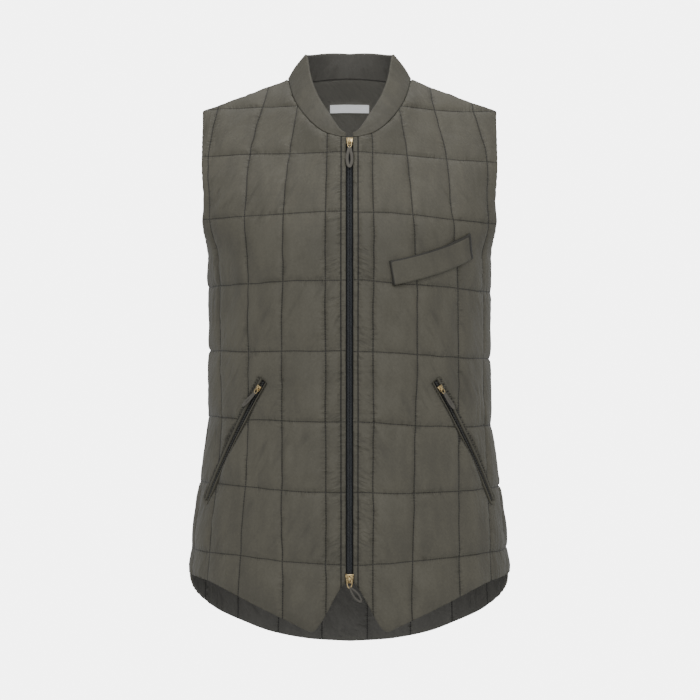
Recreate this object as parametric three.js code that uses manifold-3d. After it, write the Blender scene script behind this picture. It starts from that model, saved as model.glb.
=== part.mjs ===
// Quilted vest: a filled-out, open, box-quilted waistcoat with a band collar and a two-way front zip.
// Millimetres. +Z is up, the wearer faces -Y and the wearer's left is +X.
// The origin is midway between the shoulder seams, where the wearer's shoulders hold the vest up.
import * as THREE from 'three';
import { mergeVertices } from 'three/addons/utils/BufferGeometryUtils.js';
import Module from 'manifold-3d';

const wasm = await Module();
wasm.setup();

// Driving sizes of the cloth
const ROW = 88;
const COLUMN = 54.5;
const FIRST_COLUMN = 29.5;
const BACK_COLUMN = 60;
const BACK_FIRST_COLUMN = 31;
const BACK_SHIFT = -7;
const FRONT_EDGE = 5.5;
const EDGE_STITCH = 10.6;
const WALL = 2.2;
const INSIDE_RIPPLE = 0.08;
const PUFF = 3;
const EDGE_FADE = 11;
const SEAM_GAP = 0.3;
const SEAM_SLACK = 0.05;
const SHOULDER_HEIGHT = 336;

// Where the pieces end, in millimetres of cloth up from the lowest quilt row
const ARMPIT = 385;
const SIDE_HEM = -22;
const ZIP_FOOT = -22;
const ZIP_HEAD = 552;

// Level rings of the worn body. cloth: up the cloth; height: above the eye line of the source view;
// depth: at the centre line; reach, bend: cloth from centre to side and how late the ring turns;
// side: degrees turned at the reach; neck: degrees turned early, towards the neck.
const FRONT_RINGS = [
  { cloth: -150, height: -418, depth: -149, reach: 297, bend: 1.6, side: 90, neck: 0 },
  { cloth: -82, height: -350, depth: -150, reach: 292, bend: 1.54, side: 90, neck: 0 },
  { cloth: 0, height: -268, depth: -150, reach: 286.3, bend: 1.479, side: 90, neck: 0 },
  { cloth: 88, height: -178, depth: -149, reach: 275.2, bend: 1.392, side: 90, neck: 0 },
  { cloth: 176, height: -90, depth: -148, reach: 264.6, bend: 1.309, side: 90, neck: 0 },
  { cloth: 264, height: -2, depth: -149, reach: 264.5, bend: 1.28, side: 90, neck: 0 },
  { cloth: 352, height: 86, depth: -152, reach: 267.3, bend: 1.267, side: 90, neck: 0 },
  { cloth: 385, height: 118, depth: -151, reach: 267.9, bend: 1.29, side: 90, neck: 0 },
  { cloth: 440, height: 172, depth: -143, reach: 300, bend: 1.6, side: 84, neck: 6 },
  { cloth: 528, height: 250, depth: -113, reach: 300, bend: 1.6, side: 30, neck: 24 },
  { cloth: 616, height: 316.5, depth: -87, reach: 300, bend: 1.6, side: 6, neck: 40 },
  { cloth: 668, height: 358, depth: -50, reach: 300, bend: 1.6, side: 4, neck: 43 },
];
const BACK_RINGS = [
  { cloth: -150, height: -418, depth: 125, reach: 281, bend: 1.95, side: 90, neck: 0 },
  { cloth: -82, height: -350, depth: 124, reach: 276, bend: 1.9, side: 90, neck: 0 },
  { cloth: 0, height: -268, depth: 123, reach: 269.4, bend: 1.873, side: 90, neck: 0 },
  { cloth: 88, height: -178, depth: 120, reach: 256.8, bend: 1.803, side: 90, neck: 0 },
  { cloth: 176, height: -90, depth: 118, reach: 245.3, bend: 1.717, side: 90, neck: 0 },
  { cloth: 264, height: -2, depth: 118, reach: 244.5, bend: 1.69, side: 90, neck: 0 },
  { cloth: 352, height: 86, depth: 123, reach: 248.4, bend: 1.634, side: 90, neck: 0 },
  { cloth: 385, height: 118, depth: 125, reach: 251, bend: 1.619, side: 90, neck: 0 },
  { cloth: 440, height: 172, depth: 128, reach: 290, bend: 1.8, side: 84, neck: 2 },
  { cloth: 528, height: 258, depth: 119, reach: 300, bend: 1.7, side: 48, neck: 5 },
  { cloth: 616, height: 333, depth: 92, reach: 280, bend: 1.6, side: 40, neck: 14 },
  { cloth: 668, height: 369, depth: 61, reach: 104, bend: 1.8, side: 90, neck: 0 },
];

// Pattern outlines: across from the centre line, up from the lowest quilt row
const FRONT_HEM = [
  { across: 200, up: -26 },
  { across: 147, up: -40.5 },
  { across: 90, up: -63.5 },
  { across: 56, up: -79 },
  { across: 46, up: -82 },
  { across: 36, up: -72 },
  { across: 19, up: -41 },
  { across: 12, up: -29 },
  { across: FRONT_EDGE, up: -21 },
];
const BACK_HEM = [
  { across: 259, up: -38 },
  { across: 239, up: -53 },
  { across: 214, up: -69 },
  { across: 187, up: -85 },
  { across: 151, up: -102 },
  { across: 109, up: -119 },
  { across: 58, up: -130 },
  { across: 0, up: -134 },
];
const FRONT_ARMHOLE = [
  { across: 243, up: 391 },
  { across: 220, up: 407 },
  { across: 209, up: 434 },
  { across: 205, up: 475 },
  { across: 206, up: 528 },
  { across: 212, up: 580 },
];
const BACK_ARMHOLE = [
  { across: 229, up: 391 },
  { across: 213, up: 408 },
  { across: 204, up: 440 },
  { across: 202, up: 490 },
  { across: 206, up: 545 },
];
const FRONT_SHOULDER = { neckAcross: 101, neckUp: 668, tipAcross: 217, tipUp: 614 };
const BACK_SHOULDER = { neckAcross: 99, neckUp: 667, tipAcross: 214, tipUp: 600 };
const FRONT_NECKLINE = [
  { across: 88, up: 628 },
  { across: 66, up: 594 },
  { across: 38, up: 565 },
  { across: 14, up: 554 },
  { across: FRONT_EDGE, up: 553 },
];
const BACK_NECKLINE = [
  { across: 84, up: 665 },
  { across: 58, up: 664 },
  { across: 28, up: 664 },
  { across: 0, up: 664 },
];

// Slanted hip pocket openings, on the pattern of each front
const POCKET = { topAcross: 112, topUp: 227, footAcross: 214, footUp: 73, width: 12.6, end: 3 };
const POCKET_CHAIN = 4.4;
const POCKET_PROUD = 1.2;
const POCKET_STEPS = 12;

// Curved chest welt on the wearer's left
const WELT = {
  innerAcross: 54, innerUp: 346, outerAcross: 169, outerUp: 384, height: 31, sag: 3.5, lean: 0.55,
  gap: 1, thick: 2.2, steps: 12,
};

// Front zip
const CHAIN_HALF = 3;
const CHAIN_TOP = -0.8;
const CHAIN_BACK = -3.7;
const TAPE_INNER = 3.3;
const TAPE_OUTER = 18;
const TAPE_TOP = -WALL - SEAM_GAP;
const TAPE_THICK = 1.2;

// Band collar by its share of the way from the zip to the centre back.
// inward, up: from the neck seam to the upper edge; thick: wall there; aim: depth of the point it leans to
const COLLAR = [
  { share: 0, inward: 1.5, up: 4.5, thick: 2.4, aim: -85 },
  { share: 0.05, inward: 6, up: 10, thick: 2.6, aim: -80 },
  { share: 0.1, inward: 12, up: 16, thick: 2.8, aim: -70 },
  { share: 0.18, inward: 19, up: 20, thick: 3.2, aim: -50 },
  { share: 0.32, inward: 21, up: 25, thick: 3.4, aim: -25 },
  { share: 0.48, inward: 23, up: 30, thick: 3.4, aim: -15 },
  { share: 0.62, inward: 25, up: 33, thick: 3.4, aim: -10 },
  { share: 0.8, inward: 17, up: 34.3, thick: 3.4, aim: -10 },
  { share: 1, inward: 10, up: 31.2, thick: 3.4, aim: -10 },
];
const NECK_STEPS = 14;
const COLLAR_BULGE = 1;
const COLLAR_GAP = 0.5;

// Woven label inside the back neck
const LABEL = { half: 27.5, foot: 606, head: 619.5, thick: 0.7 };

// Metal sliders and their cloth pulls; sizes in the plane of the zip
const SLIDER = { topWidth: 9, footWidth: 6.4, above: 5, below: 6, thick: 2.3 };
const BAIL = { width: 2.2, length: 8, height: 3.4, holeLength: 4.6, holeHeight: 2.2 };
const LINK = { halfWidth: 3.4, wire: 1.1, side: 1.3, length: 9.6 };
const PULL = { loopWidth: 3.2, loopHalf: 1.8, neck: 6 };
const HIP_SCALE = 0.8;
const HIP_LEAN = { left: 4, right: -15 };

const COLOURS = {
  cloth: { color: 0x5f5c54, roughness: 0.62, metalness: 0 },
  collar: { color: 0x5b5851, roughness: 0.6, metalness: 0 },
  tape: { color: 0x2d2c2b, roughness: 0.85, metalness: 0 },
  chain: { color: 0x1f1f20, roughness: 0.5, metalness: 0 },
  gold: { color: 0xb7955a, roughness: 0.3, metalness: 1 },
  pull: { color: 0x3f3c36, roughness: 0.8, metalness: 0 },
  label: { color: 0xe9e8e4, roughness: 0.7, metalness: 0 },
};

const clamp = (value) => Math.min(Math.max(value, 0), 1);
const smooth = (value) => clamp(value) ** 2 * (3 - 2 * clamp(value));
const radians = THREE.MathUtils.degToRad;
const mix = THREE.MathUtils.lerp;

/** Reads one column of a table at any amount, smoothly between its rows. */
function readTable(rows, column, at, by = 'cloth') {
  const last = rows.length - 1;
  let row = 0;
  while (row < last - 1 && at > rows[row + 1][by]) {
    row += 1;
  }
  const rate = (index) => (
    (rows[index + 1][column] - rows[index][column]) / (rows[index + 1][by] - rows[index][by])
  );
  const slope = (index) => {
    const before = rate(Math.max(index - 1, 0));
    const after = rate(Math.min(index, last - 1));
    return before * after > 0 ? (2 * before * after) / (before + after) : 0;
  };
  const span = rows[row + 1][by] - rows[row][by];
  const part = (at - rows[row][by]) / span;
  const square = part * part;
  const cube = square * part;
  return (2 * cube - 3 * square + 1) * rows[row][column]
    + (cube - 2 * square + part) * span * slope(row)
    + (3 * square - 2 * cube) * rows[row + 1][column]
    + (cube - square) * span * slope(row + 1);
}

/** A point of the bare form, found by walking the level ring out from its centre line. */
function ringPoint(rings, across, up, outward) {
  const steps = 24;
  const neckReach = 50;
  const reach = readTable(rings, 'reach', up);
  const bend = readTable(rings, 'bend', up);
  const side = radians(readTable(rings, 'side', up));
  const neck = radians(readTable(rings, 'neck', up));
  const step = across / steps;
  let x = 0;
  let turnIn = 0;
  for (let index = 0; index < steps; index += 1) {
    const walked = Math.abs((index + 0.5) * step);
    const early = (walked / neckReach) * Math.exp(1 - walked / neckReach);
    const angle = side * (walked / reach) ** bend + neck * early;
    x += Math.cos(angle) * step;
    turnIn += Math.sin(angle) * Math.abs(step);
  }
  const y = readTable(rings, 'depth', up) - outward * turnIn;
  return new THREE.Vector3(x, y, readTable(rings, 'height', up) - SHOULDER_HEIGHT);
}

const frontPoint = (across, up) => ringPoint(FRONT_RINGS, across, up, -1);
const plainBack = (across, up) => ringPoint(BACK_RINGS, across, up, 1);

/** A point part of the way along a shoulder seam of the pattern, from the neck to the tip. */
function shoulderAt(seam, part) {
  return { across: mix(seam.neckAcross, seam.tipAcross, part), up: mix(seam.neckUp, seam.tipUp, part) };
}

/** A point of the back, drawn to the front's side and shoulder seams where it meets them. */
function backPoint(across, up) {
  const shoulderFade = 125;
  const armpitFade = 60;
  const point = plainBack(across, up);
  const level = Math.min(up, ARMPIT);
  const frontReach = readTable(FRONT_RINGS, 'reach', level);
  const backReach = readTable(BACK_RINGS, 'reach', level);
  const sideways = clamp(Math.abs(across) / backReach) ** 4 * (1 - smooth((up - ARMPIT) / armpitFade));
  const sideMove = frontPoint(frontReach, level).sub(plainBack(backReach, level));
  const seam = BACK_SHOULDER;
  const part = clamp((Math.abs(across) - seam.neckAcross) / (seam.tipAcross - seam.neckAcross));
  const here = shoulderAt(seam, part);
  const there = shoulderAt(FRONT_SHOULDER, part);
  const upward = 1 - smooth((here.up - up) / shoulderFade);
  const nearNeck = smooth(Math.abs(across) / seam.neckAcross);
  const seamMove = frontPoint(there.across, there.up).sub(plainBack(here.across, here.up));
  const move = sideMove.multiplyScalar(sideways).add(seamMove.multiplyScalar(upward * nearNeck));
  if (across < 0) {
    move.x = -move.x;
  }
  return point.add(move);
}

/** Outward direction of a panel, shared by both panels along their common seams. */
function outwardAt(place, seam, rings, across, up, sign) {
  const probe = 1.5;
  const right = place(across + probe, up).sub(place(across - probe, up));
  const above = place(across, up + probe).sub(place(across, up - probe));
  const outward = right.cross(above).normalize().multiplyScalar(sign);
  const side = across < 0 ? -1 : 1;
  const part = clamp((Math.abs(across) - seam.neckAcross) / (seam.tipAcross - seam.neckAcross));
  const below = shoulderAt(seam, part).up - up;
  const beside = clamp((seam.neckAcross - Math.abs(across)) / ROW);
  const shoulder = (1 - smooth(below / 34)) * (1 - smooth(beside * 2));
  outward.lerp(new THREE.Vector3(0.3 * side, 0, 0.95), shoulder).normalize();
  const toSide = readTable(rings, 'reach', Math.min(up, ARMPIT)) - Math.abs(across);
  const sideways = (1 - smooth(toSide / 26)) * (1 - smooth((up - ARMPIT) / 20));
  return outward.lerp(new THREE.Vector3(side, 0, 0), sideways).normalize();
}

/** Places pattern points on the front: across, up and out from the cloth. */
function onFront(across, up, out) {
  const direction = outwardAt(frontPoint, FRONT_SHOULDER, FRONT_RINGS, across, up, 1);
  return frontPoint(across, up).addScaledVector(direction, out);
}

/** Places pattern points on the back: across, up and out from the cloth. */
function onBack(across, up, out) {
  const direction = outwardAt(backPoint, BACK_SHOULDER, BACK_RINGS, across, up, -1);
  return backPoint(across, up).addScaledVector(direction, out);
}

/** Makes a manifold from a plain geometry. */
function solidFrom(geometry) {
  const bare = geometry.clone();
  bare.deleteAttribute('normal');
  bare.deleteAttribute('uv');
  const merged = mergeVertices(bare, 1e-4);
  const vertProperties = new Float32Array(merged.attributes.position.array);
  const triVerts = new Uint32Array(merged.index.array);
  return new wasm.Manifold(new wasm.Mesh({ numProp: 3, vertProperties, triVerts }));
}

/** A slab over a grid of pattern lines, with given upper and lower heights. */
function gridSlab(columns, rows, top, bottom) {
  const positions = [];
  const index = [];
  const width = columns.length;
  const height = rows.length;
  const layer = width * height;
  [bottom, top].forEach((level) => {
    rows.forEach((up) => {
      columns.forEach((across) => positions.push(across, up, level(across, up)));
    });
  });
  const quad = (a, b, c, d) => index.push(a, b, c, a, c, d);
  for (let row = 0; row < height - 1; row += 1) {
    for (let column = 0; column < width - 1; column += 1) {
      const a = row * width + column;
      quad(a + layer, a + 1 + layer, a + 1 + width + layer, a + width + layer);
      quad(a, a + width, a + 1 + width, a + 1);
    }
  }
  for (let column = 0; column < width - 1; column += 1) {
    const far = (height - 1) * width + column;
    quad(column, column + 1, column + 1 + layer, column + layer);
    quad(far + 1, far, far + layer, far + 1 + layer);
  }
  for (let row = 0; row < height - 1; row += 1) {
    const near = row * width;
    const far = near + width - 1;
    quad(near + width, near, near + layer, near + width + layer);
    quad(far, far + width, far + width + layer, far + layer);
  }
  const geometry = new THREE.BufferGeometry();
  geometry.setAttribute('position', new THREE.Float32BufferAttribute(positions, 3));
  geometry.setIndex(index);
  return solidFrom(geometry);
}

/** A tall prism over a pattern outline, used to cut cloth. */
function cutter(outline) {
  const half = 60;
  const shape = new THREE.Shape(outline);
  const geometry = new THREE.ExtrudeGeometry(shape, { depth: half * 2, bevelEnabled: false });
  geometry.translate(0, 0, -half);
  return solidFrom(geometry);
}

/** Turns a manifold into a geometry, moving each point through a placing function. */
function wear(solid, place) {
  const mesh = solid.getMesh();
  const point = new THREE.Vector3();
  const positions = [];
  for (let vertex = 0; vertex < mesh.vertProperties.length; vertex += mesh.numProp) {
    const [across, up, out] = mesh.vertProperties.subarray(vertex, vertex + 3);
    point.copy(place(across, up, out));
    positions.push(point.x, point.y, point.z);
  }
  const geometry = new THREE.BufferGeometry();
  geometry.setAttribute('position', new THREE.Float32BufferAttribute(positions, 3));
  geometry.setIndex(Array.from(mesh.triVerts));
  return faceOut(geometry);
}

/** Turns a closed geometry's faces outward. */
function faceOut(geometry) {
  const position = geometry.attributes.position;
  const index = geometry.index.array;
  const corners = [new THREE.Vector3(), new THREE.Vector3(), new THREE.Vector3()];
  let volume = 0;
  for (let face = 0; face < index.length; face += 3) {
    corners.forEach((corner, offset) => corner.fromBufferAttribute(position, index[face + offset]));
    volume += corners[0].dot(corners[1].clone().cross(corners[2])) / 6;
  }
  if (volume < 0) {
    const flipped = Array.from(index);
    for (let face = 0; face < flipped.length; face += 3) {
      [flipped[face + 1], flipped[face + 2]] = [flipped[face + 2], flipped[face + 1]];
    }
    geometry.setIndex(flipped);
  }
  geometry.computeVertexNormals();
  return geometry;
}

/** Distance from a pattern point to a closed outline. */
function distanceTo(outline, across, up) {
  let nearest = Infinity;
  outline.forEach((start, index) => {
    const end = outline[(index + 1) % outline.length];
    const runX = end.x - start.x;
    const runY = end.y - start.y;
    const part = clamp(((across - start.x) * runX + (up - start.y) * runY) / (runX ** 2 + runY ** 2));
    nearest = Math.min(nearest, Math.hypot(across - start.x - part * runX, up - start.y - part * runY));
  });
  return nearest;
}

/** Smooth pattern line through table rows. */
function spline(rows, pieces) {
  const line = new THREE.SplineCurve(rows.map((row) => new THREE.Vector2(row.across, row.up)));
  return line.getPoints(pieces);
}

/** Outline of half a panel, anticlockwise from the foot of its inner edge. */
function halfOutline(rings, hem, armhole, shoulder, neckline, gap) {
  const sideSteps = 20;
  const shoulderSteps = 8;
  const seam = [];
  for (let step = 0; step <= sideSteps; step += 1) {
    const up = mix(SIDE_HEM, ARMPIT, step / sideSteps);
    seam.push(new THREE.Vector2(readTable(rings, 'reach', up) - gap, up));
  }
  const foot = { across: seam[0].x, up: SIDE_HEM };
  const hemLine = spline([foot, ...hem], 20).reverse();
  const pit = { across: seam[sideSteps].x, up: ARMPIT };
  const tip = { across: shoulder.tipAcross, up: shoulder.tipUp - gap };
  const neck = { across: shoulder.neckAcross, up: shoulder.neckUp - gap };
  const armLine = spline([pit, ...armhole, tip], 14);
  const shoulderLine = [];
  for (let step = 1; step < shoulderSteps; step += 1) {
    const part = step / shoulderSteps;
    shoulderLine.push(new THREE.Vector2(mix(tip.across, neck.across, part), mix(tip.up, neck.up, part)));
  }
  const neckLine = spline([neck, ...neckline], NECK_STEPS);
  return [...hemLine.slice(0, -1), ...seam.slice(0, -1), ...armLine, ...shoulderLine, ...neckLine];
}

/** Pattern lines between quilt seams, closer beside each seam. */
function linesBetween(seams, shares) {
  const lines = [];
  seams.slice(0, -1).forEach((seam, index) => {
    shares.forEach((share) => lines.push(mix(seam, seams[index + 1], share)));
  });
  return [...lines, seams[seams.length - 1]];
}

/** Height of the padding between the two nearest quilt seams, from 0 at a seam to 1. */
function crown(seams, at) {
  const next = seams.findIndex((seam) => seam > at);
  if (next < 1) {
    return 0;
  }
  const part = (at - seams[next - 1]) / (seams[next] - seams[next - 1]);
  return Math.min(1, (1 - Math.abs(2 * part - 1) ** 3) * Math.min(1, (seams[next] - seams[next - 1]) / 30));
}

const FINE = [0, 0.16, 0.5, 0.84];
const COARSE = [0, 0.5];
const GRID_ROWS = [-2, -1, 0, 1, 2, 3, 4, 5, 6, 7, 8].map((row) => row * ROW);
const ROW_SEAMS = GRID_ROWS.filter((up) => up !== -ROW);
const FRONT_SEAMS = [-8, EDGE_STITCH, ...[0, 1, 2, 3, 4, 5].map((c) => FIRST_COLUMN + c * COLUMN)];
const BACK_HALF_SEAMS = [0, 1, 2, 3, 4, 5].map((column) => BACK_FIRST_COLUMN + column * BACK_COLUMN);
const BACK_SEAMS = [...BACK_HALF_SEAMS.map((seam) => -seam).reverse(), ...BACK_HALF_SEAMS]
  .map((seam) => seam + BACK_SHIFT);

/** Puffed slab of quilted cloth between quilt seams, cut to an outline, still flat. */
function quiltedCloth(columnSeams, outline, extraColumns, extraRows) {
  const puff = (across, up) => PUFF * Math.sqrt(crown(columnSeams, across) * crown(ROW_SEAMS, up));
  const sorted = (lines) => lines.sort((a, b) => a - b);
  const high = () => 50;
  const low = () => -50;
  const inside = (across, up) => -WALL - INSIDE_RIPPLE * Math.sin(across * 1.7) * Math.cos(up * 1.3);
  const outer = gridSlab(linesBetween(columnSeams, FINE), linesBetween(GRID_ROWS, FINE), puff, low);
  const innerColumns = sorted([...linesBetween(columnSeams, COARSE), ...extraColumns]);
  const innerRows = sorted([...linesBetween(GRID_ROWS, COARSE), ...extraRows]);
  const inner = gridSlab(innerColumns, innerRows, high, inside);
  return outer.intersect(inner).intersect(cutter(outline));
}

/** Outer points sink to the seam line beside every cut edge. */
function pinch(edges, place, side) {
  return (across, up, out) => {
    let height = -WALL;
    if (out > -WALL / 2) {
      const nearest = Math.min(...edges.map((edge) => distanceTo(edge, across, up)));
      height = out * Math.sqrt(clamp(nearest / EDGE_FADE));
    }
    return place(across * side, up, height);
  };
}

/** Pattern point along and beside a slanted pocket opening. */
function besidePocket(along, beside) {
  const run = new THREE.Vector2(POCKET.footAcross - POCKET.topAcross, POCKET.footUp - POCKET.topUp);
  const length = run.length();
  run.normalize();
  return new THREE.Vector2(
    POCKET.topAcross + run.x * along * length - run.y * beside,
    POCKET.topUp + run.y * along * length + run.x * beside,
  );
}

const POCKET_LENGTH = Math.hypot(POCKET.footAcross - POCKET.topAcross, POCKET.footUp - POCKET.topUp);

/** Outline of a pocket opening widened by a margin. */
function pocketOutline(margin) {
  const half = POCKET.width / 2 + margin;
  const past = (POCKET.end + margin) / POCKET_LENGTH;
  return [[-past, -half], [1 + past, -half], [1 + past, half], [-past, half]]
    .map(([along, beside]) => besidePocket(along, beside));
}

/** A strip that follows the slant of a pocket opening. */
function pocketStrip(from, to, start, end, bottom, top) {
  const lines = [];
  for (let step = 0; step <= POCKET_STEPS; step += 1) {
    lines.push(mix(start, end, step / POCKET_STEPS));
  }
  const ripple = (beside, along) => INSIDE_RIPPLE * Math.sin(along * 1.7 + beside);
  const upper = (beside, along) => top + ripple(beside, along);
  const lower = (beside, along) => bottom + ripple(beside, along);
  return gridSlab([from, to], lines, upper, lower);
}

/** Places strip points (beside, along, out) on a front through the pocket's slant. */
function onPocket(side) {
  return (beside, along, out) => {
    const spot = besidePocket(along / POCKET_LENGTH, beside);
    return onFront(spot.x * side, spot.y, out);
  };
}

/** The two lips of a hip pocket, joined round the ends of the opening. */
function pocketLips() {
  const half = POCKET.width / 2 - SEAM_GAP;
  const start = -POCKET.end + SEAM_GAP;
  const end = POCKET_LENGTH + POCKET.end - SEAM_GAP;
  const inner = POCKET_CHAIN / 2 + SEAM_GAP;
  const lips = pocketStrip(-half, half, start, end, -WALL, POCKET_PROUD);
  const hole = pocketStrip(-inner, inner, 0, POCKET_LENGTH, -WALL * 3, WALL * 3);
  return lips.subtract(hole);
}

/** Closed skin through a run of rings, capped at both ends. */
function loft(rings) {
  const count = rings[0].length;
  const positions = rings.flat().flatMap((point) => [point.x, point.y, point.z]);
  const index = [];
  for (let ring = 0; ring < rings.length - 1; ring += 1) {
    for (let corner = 0; corner < count; corner += 1) {
      const next = (corner + 1) % count;
      const a = ring * count + corner;
      const b = ring * count + next;
      index.push(a, b, b + count, a, b + count, a + count);
    }
  }
  const last = (rings.length - 1) * count;
  for (let corner = 1; corner < count - 1; corner += 1) {
    index.push(0, corner + 1, corner, last, last + corner, last + corner + 1);
  }
  const geometry = new THREE.BufferGeometry();
  geometry.setAttribute('position', new THREE.Float32BufferAttribute(positions, 3));
  geometry.setIndex(index);
  return faceOut(geometry);
}

/** Points of the neck seam from the wearer's left of the zip round to the centre back. */
function neckSeam() {
  const base = (place) => (spot) => ({
    low: place(spot.x, spot.y, -WALL),
    high: place(spot.x, spot.y, 0),
  });
  const front = frontOutline.slice(-NECK_STEPS - 1).reverse();
  const back = backHalf.slice(-NECK_STEPS - 1);
  return [...front.slice(0, -1).map(base(onFront)), ...back.map(base(onBack))];
}

/** One cross-section of the band collar on a point of its seam. */
function collarRing(low, high, along, share) {
  const aim = readTable(COLLAR, 'aim', share, 'share');
  const aimed = new THREE.Vector3(-high.x, aim - high.y, 0).normalize();
  const rise = aimed.multiplyScalar(readTable(COLLAR, 'inward', share, 'share'));
  rise.z = readTable(COLLAR, 'up', share, 'share');
  const half = readTable(COLLAR, 'thick', share, 'share') / 2;
  const wall = high.clone().sub(low).normalize();
  const face = along.clone().cross(rise).normalize();
  face.multiplyScalar(face.dot(wall) < 0 ? -1 : 1);
  const lift = rise.clone().normalize().multiplyScalar(COLLAR_GAP);
  const foot = low.clone().add(high).multiplyScalar(0.5).add(lift);
  const at = (part, out) => {
    const turned = wall.clone().lerp(face, smooth(part * 3)).normalize();
    return foot.clone().addScaledVector(rise, part).addScaledVector(turned, out);
  };
  const bulge = half + COLLAR_BULGE * clamp(rise.length() / 30);
  return [
    at(0, -half), at(0.45, -half), at(0.9, -half), at(1, -half * 0.4),
    at(1, half * 0.4), at(0.9, half), at(0.45, bulge), at(0, half),
  ];
}

/** The band collar: a wall rising from the neck seam and leaning in, rounded at its upper edge. */
function bandCollar() {
  const seam = neckSeam();
  const walked = [0];
  seam.slice(1).forEach((spot, index) => walked.push(walked[index] + spot.high.distanceTo(seam[index].high)));
  const last = seam.length - 1;
  const half = seam.map(({ low, high }, index) => {
    const before = seam[Math.max(index - 1, 0)].high;
    const after = seam[Math.min(index + 1, last)].high;
    const along = after.clone().sub(before);
    if (index === last) {
      along.setY(0).setZ(0);
    }
    return collarRing(low, high, along.normalize(), walked[index] / walked[last]);
  });
  const opposite = (point) => new THREE.Vector3(-point.x, point.y, point.z);
  const mirrored = half.slice(0, -1).map((ring) => ring.map(opposite));
  return [...half, ...mirrored.reverse()];
}

/** Local frame on the cloth: x across the zip, y up it, z out. */
function frameOn(place, here, above, out) {
  const base = place(here.x, here.y, out);
  const up = place(above.x, above.y, out).sub(base).normalize();
  const outward = place(here.x, here.y, out + 1).sub(base).normalize();
  const across = up.clone().cross(outward).normalize();
  return new THREE.Matrix4().makeBasis(across, up, across.clone().cross(up)).setPosition(base);
}

/** Flat plate from corner rows (x, y), with its corners rounded, between two depths. */
function plate(corners, radius, from, to) {
  const shape = new THREE.Shape();
  corners.forEach(([x, y], index) => {
    const [nextX, nextY] = corners[(index + 1) % corners.length];
    const [lastX, lastY] = corners[(index + corners.length - 1) % corners.length];
    const before = new THREE.Vector2(lastX - x, lastY - y).setLength(radius);
    const after = new THREE.Vector2(nextX - x, nextY - y).setLength(radius);
    if (index === 0) {
      shape.moveTo(x + before.x, y + before.y);
    } else {
      shape.lineTo(x + before.x, y + before.y);
    }
    shape.quadraticCurveTo(x, y, x + after.x, y + after.y);
  });
  shape.closePath();
  const geometry = new THREE.ExtrudeGeometry(shape, {
    depth: to - from, bevelEnabled: false, curveSegments: 3,
  });
  geometry.translate(0, 0, from);
  return geometry;
}

/** A plate standing across the zip: its corner rows are (y, z) and its depth runs along x. */
function sidePlate(corners, radius, half) {
  const geometry = plate(corners, radius, -half, half);
  const turn = new THREE.Matrix4().set(0, 0, 1, 0, 1, 0, 0, 0, 0, 1, 0, 0, 0, 0, 0, 1);
  geometry.applyMatrix4(turn);
  return solidFrom(geometry);
}

const HINGE_OUT = SLIDER.thick + BAIL.holeHeight / 2;

/** Slider body with the arch that carries its pull. */
function sliderBody() {
  const { topWidth, footWidth, above, below, thick } = SLIDER;
  const body = solidFrom(plate([
    [-footWidth / 2, -below], [footWidth / 2, -below], [topWidth / 2, above - 2],
    [topWidth / 2, above], [-topWidth / 2, above], [-topWidth / 2, above - 2],
  ], 0.9, 0, thick));
  const { length, height, holeLength, holeHeight } = BAIL;
  const arch = sidePlate([
    [-length / 2, thick - 0.4], [length / 2, thick - 0.4],
    [length / 2 - 1, thick + height], [-length / 2 + 1, thick + height],
  ], 0.9, BAIL.width / 2);
  const hole = sidePlate([
    [-holeLength / 2, thick], [holeLength / 2, thick],
    [holeLength / 2, thick + holeHeight], [-holeLength / 2, thick + holeHeight],
  ], 0.4, BAIL.width);
  return body.add(arch.subtract(hole));
}

/** Wire link from the slider's arch to its cloth pull. */
function pullLink() {
  const { halfWidth, wire, side, length } = LINK;
  const from = HINGE_OUT - wire / 2;
  const to = HINGE_OUT + wire / 2;
  const outer = solidFrom(plate([
    [-halfWidth, -length], [halfWidth, -length], [halfWidth, wire / 2], [-halfWidth, wire / 2],
  ], 1.2, from, to));
  const inner = halfWidth - side;
  const hole = solidFrom(plate([
    [-inner, -length + wire], [inner, -length + wire], [inner, -wire / 2], [-inner, -wire / 2],
  ], 0.5, from - 1, to + 1));
  return outer.subtract(hole);
}

/** Cloth pull: a folded strap round the link's foot that widens to a rounded grip. */
function clothPull({ width, length, lean }) {
  const { loopWidth, loopHalf, neck } = PULL;
  const bar = -LINK.length + LINK.wire / 2;
  const clear = LINK.wire / 2 + 0.35;
  const strap = sidePlate([
    [bar + loopHalf, HINGE_OUT - loopHalf], [bar + loopHalf, HINGE_OUT + loopHalf],
    [bar - neck, HINGE_OUT + 1.1], [bar - neck, HINGE_OUT - 1.1],
  ], 0.8, loopWidth / 2);
  const hole = sidePlate([
    [bar + clear, HINGE_OUT - clear], [bar + clear, HINGE_OUT + clear],
    [bar - clear, HINGE_OUT + clear], [bar - clear, HINGE_OUT - clear],
  ], 0.3, loopWidth);
  const top = bar - loopHalf - 1;
  const flat = plate([
    [-width / 2, top - length], [width / 2, top - length], [width / 2, top - 6],
    [1.8, top + 0.5], [-1.8, top + 0.5], [-width / 2, top - 6],
  ], 1.4, HINGE_OUT - 1.1, HINGE_OUT + 1.1);
  const swing = new THREE.Matrix4().makeTranslation(0, top, 0)
    .multiply(new THREE.Matrix4().makeRotationZ(radians(lean)))
    .multiply(new THREE.Matrix4().makeTranslation(0, -top, 0));
  const grip = solidFrom(flat.applyMatrix4(swing));
  return strap.subtract(hole).add(grip);
}

const vest = new THREE.Group();
vest.name = 'quilted_vest';
vest.userData.hinges = {};

/** Adds one named piece in one finish. */
function addPiece(name, geometry, finish) {
  const mesh = new THREE.Mesh(geometry, new THREE.MeshStandardMaterial(COLOURS[finish]));
  mesh.name = name;
  vest.add(mesh);
}

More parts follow.
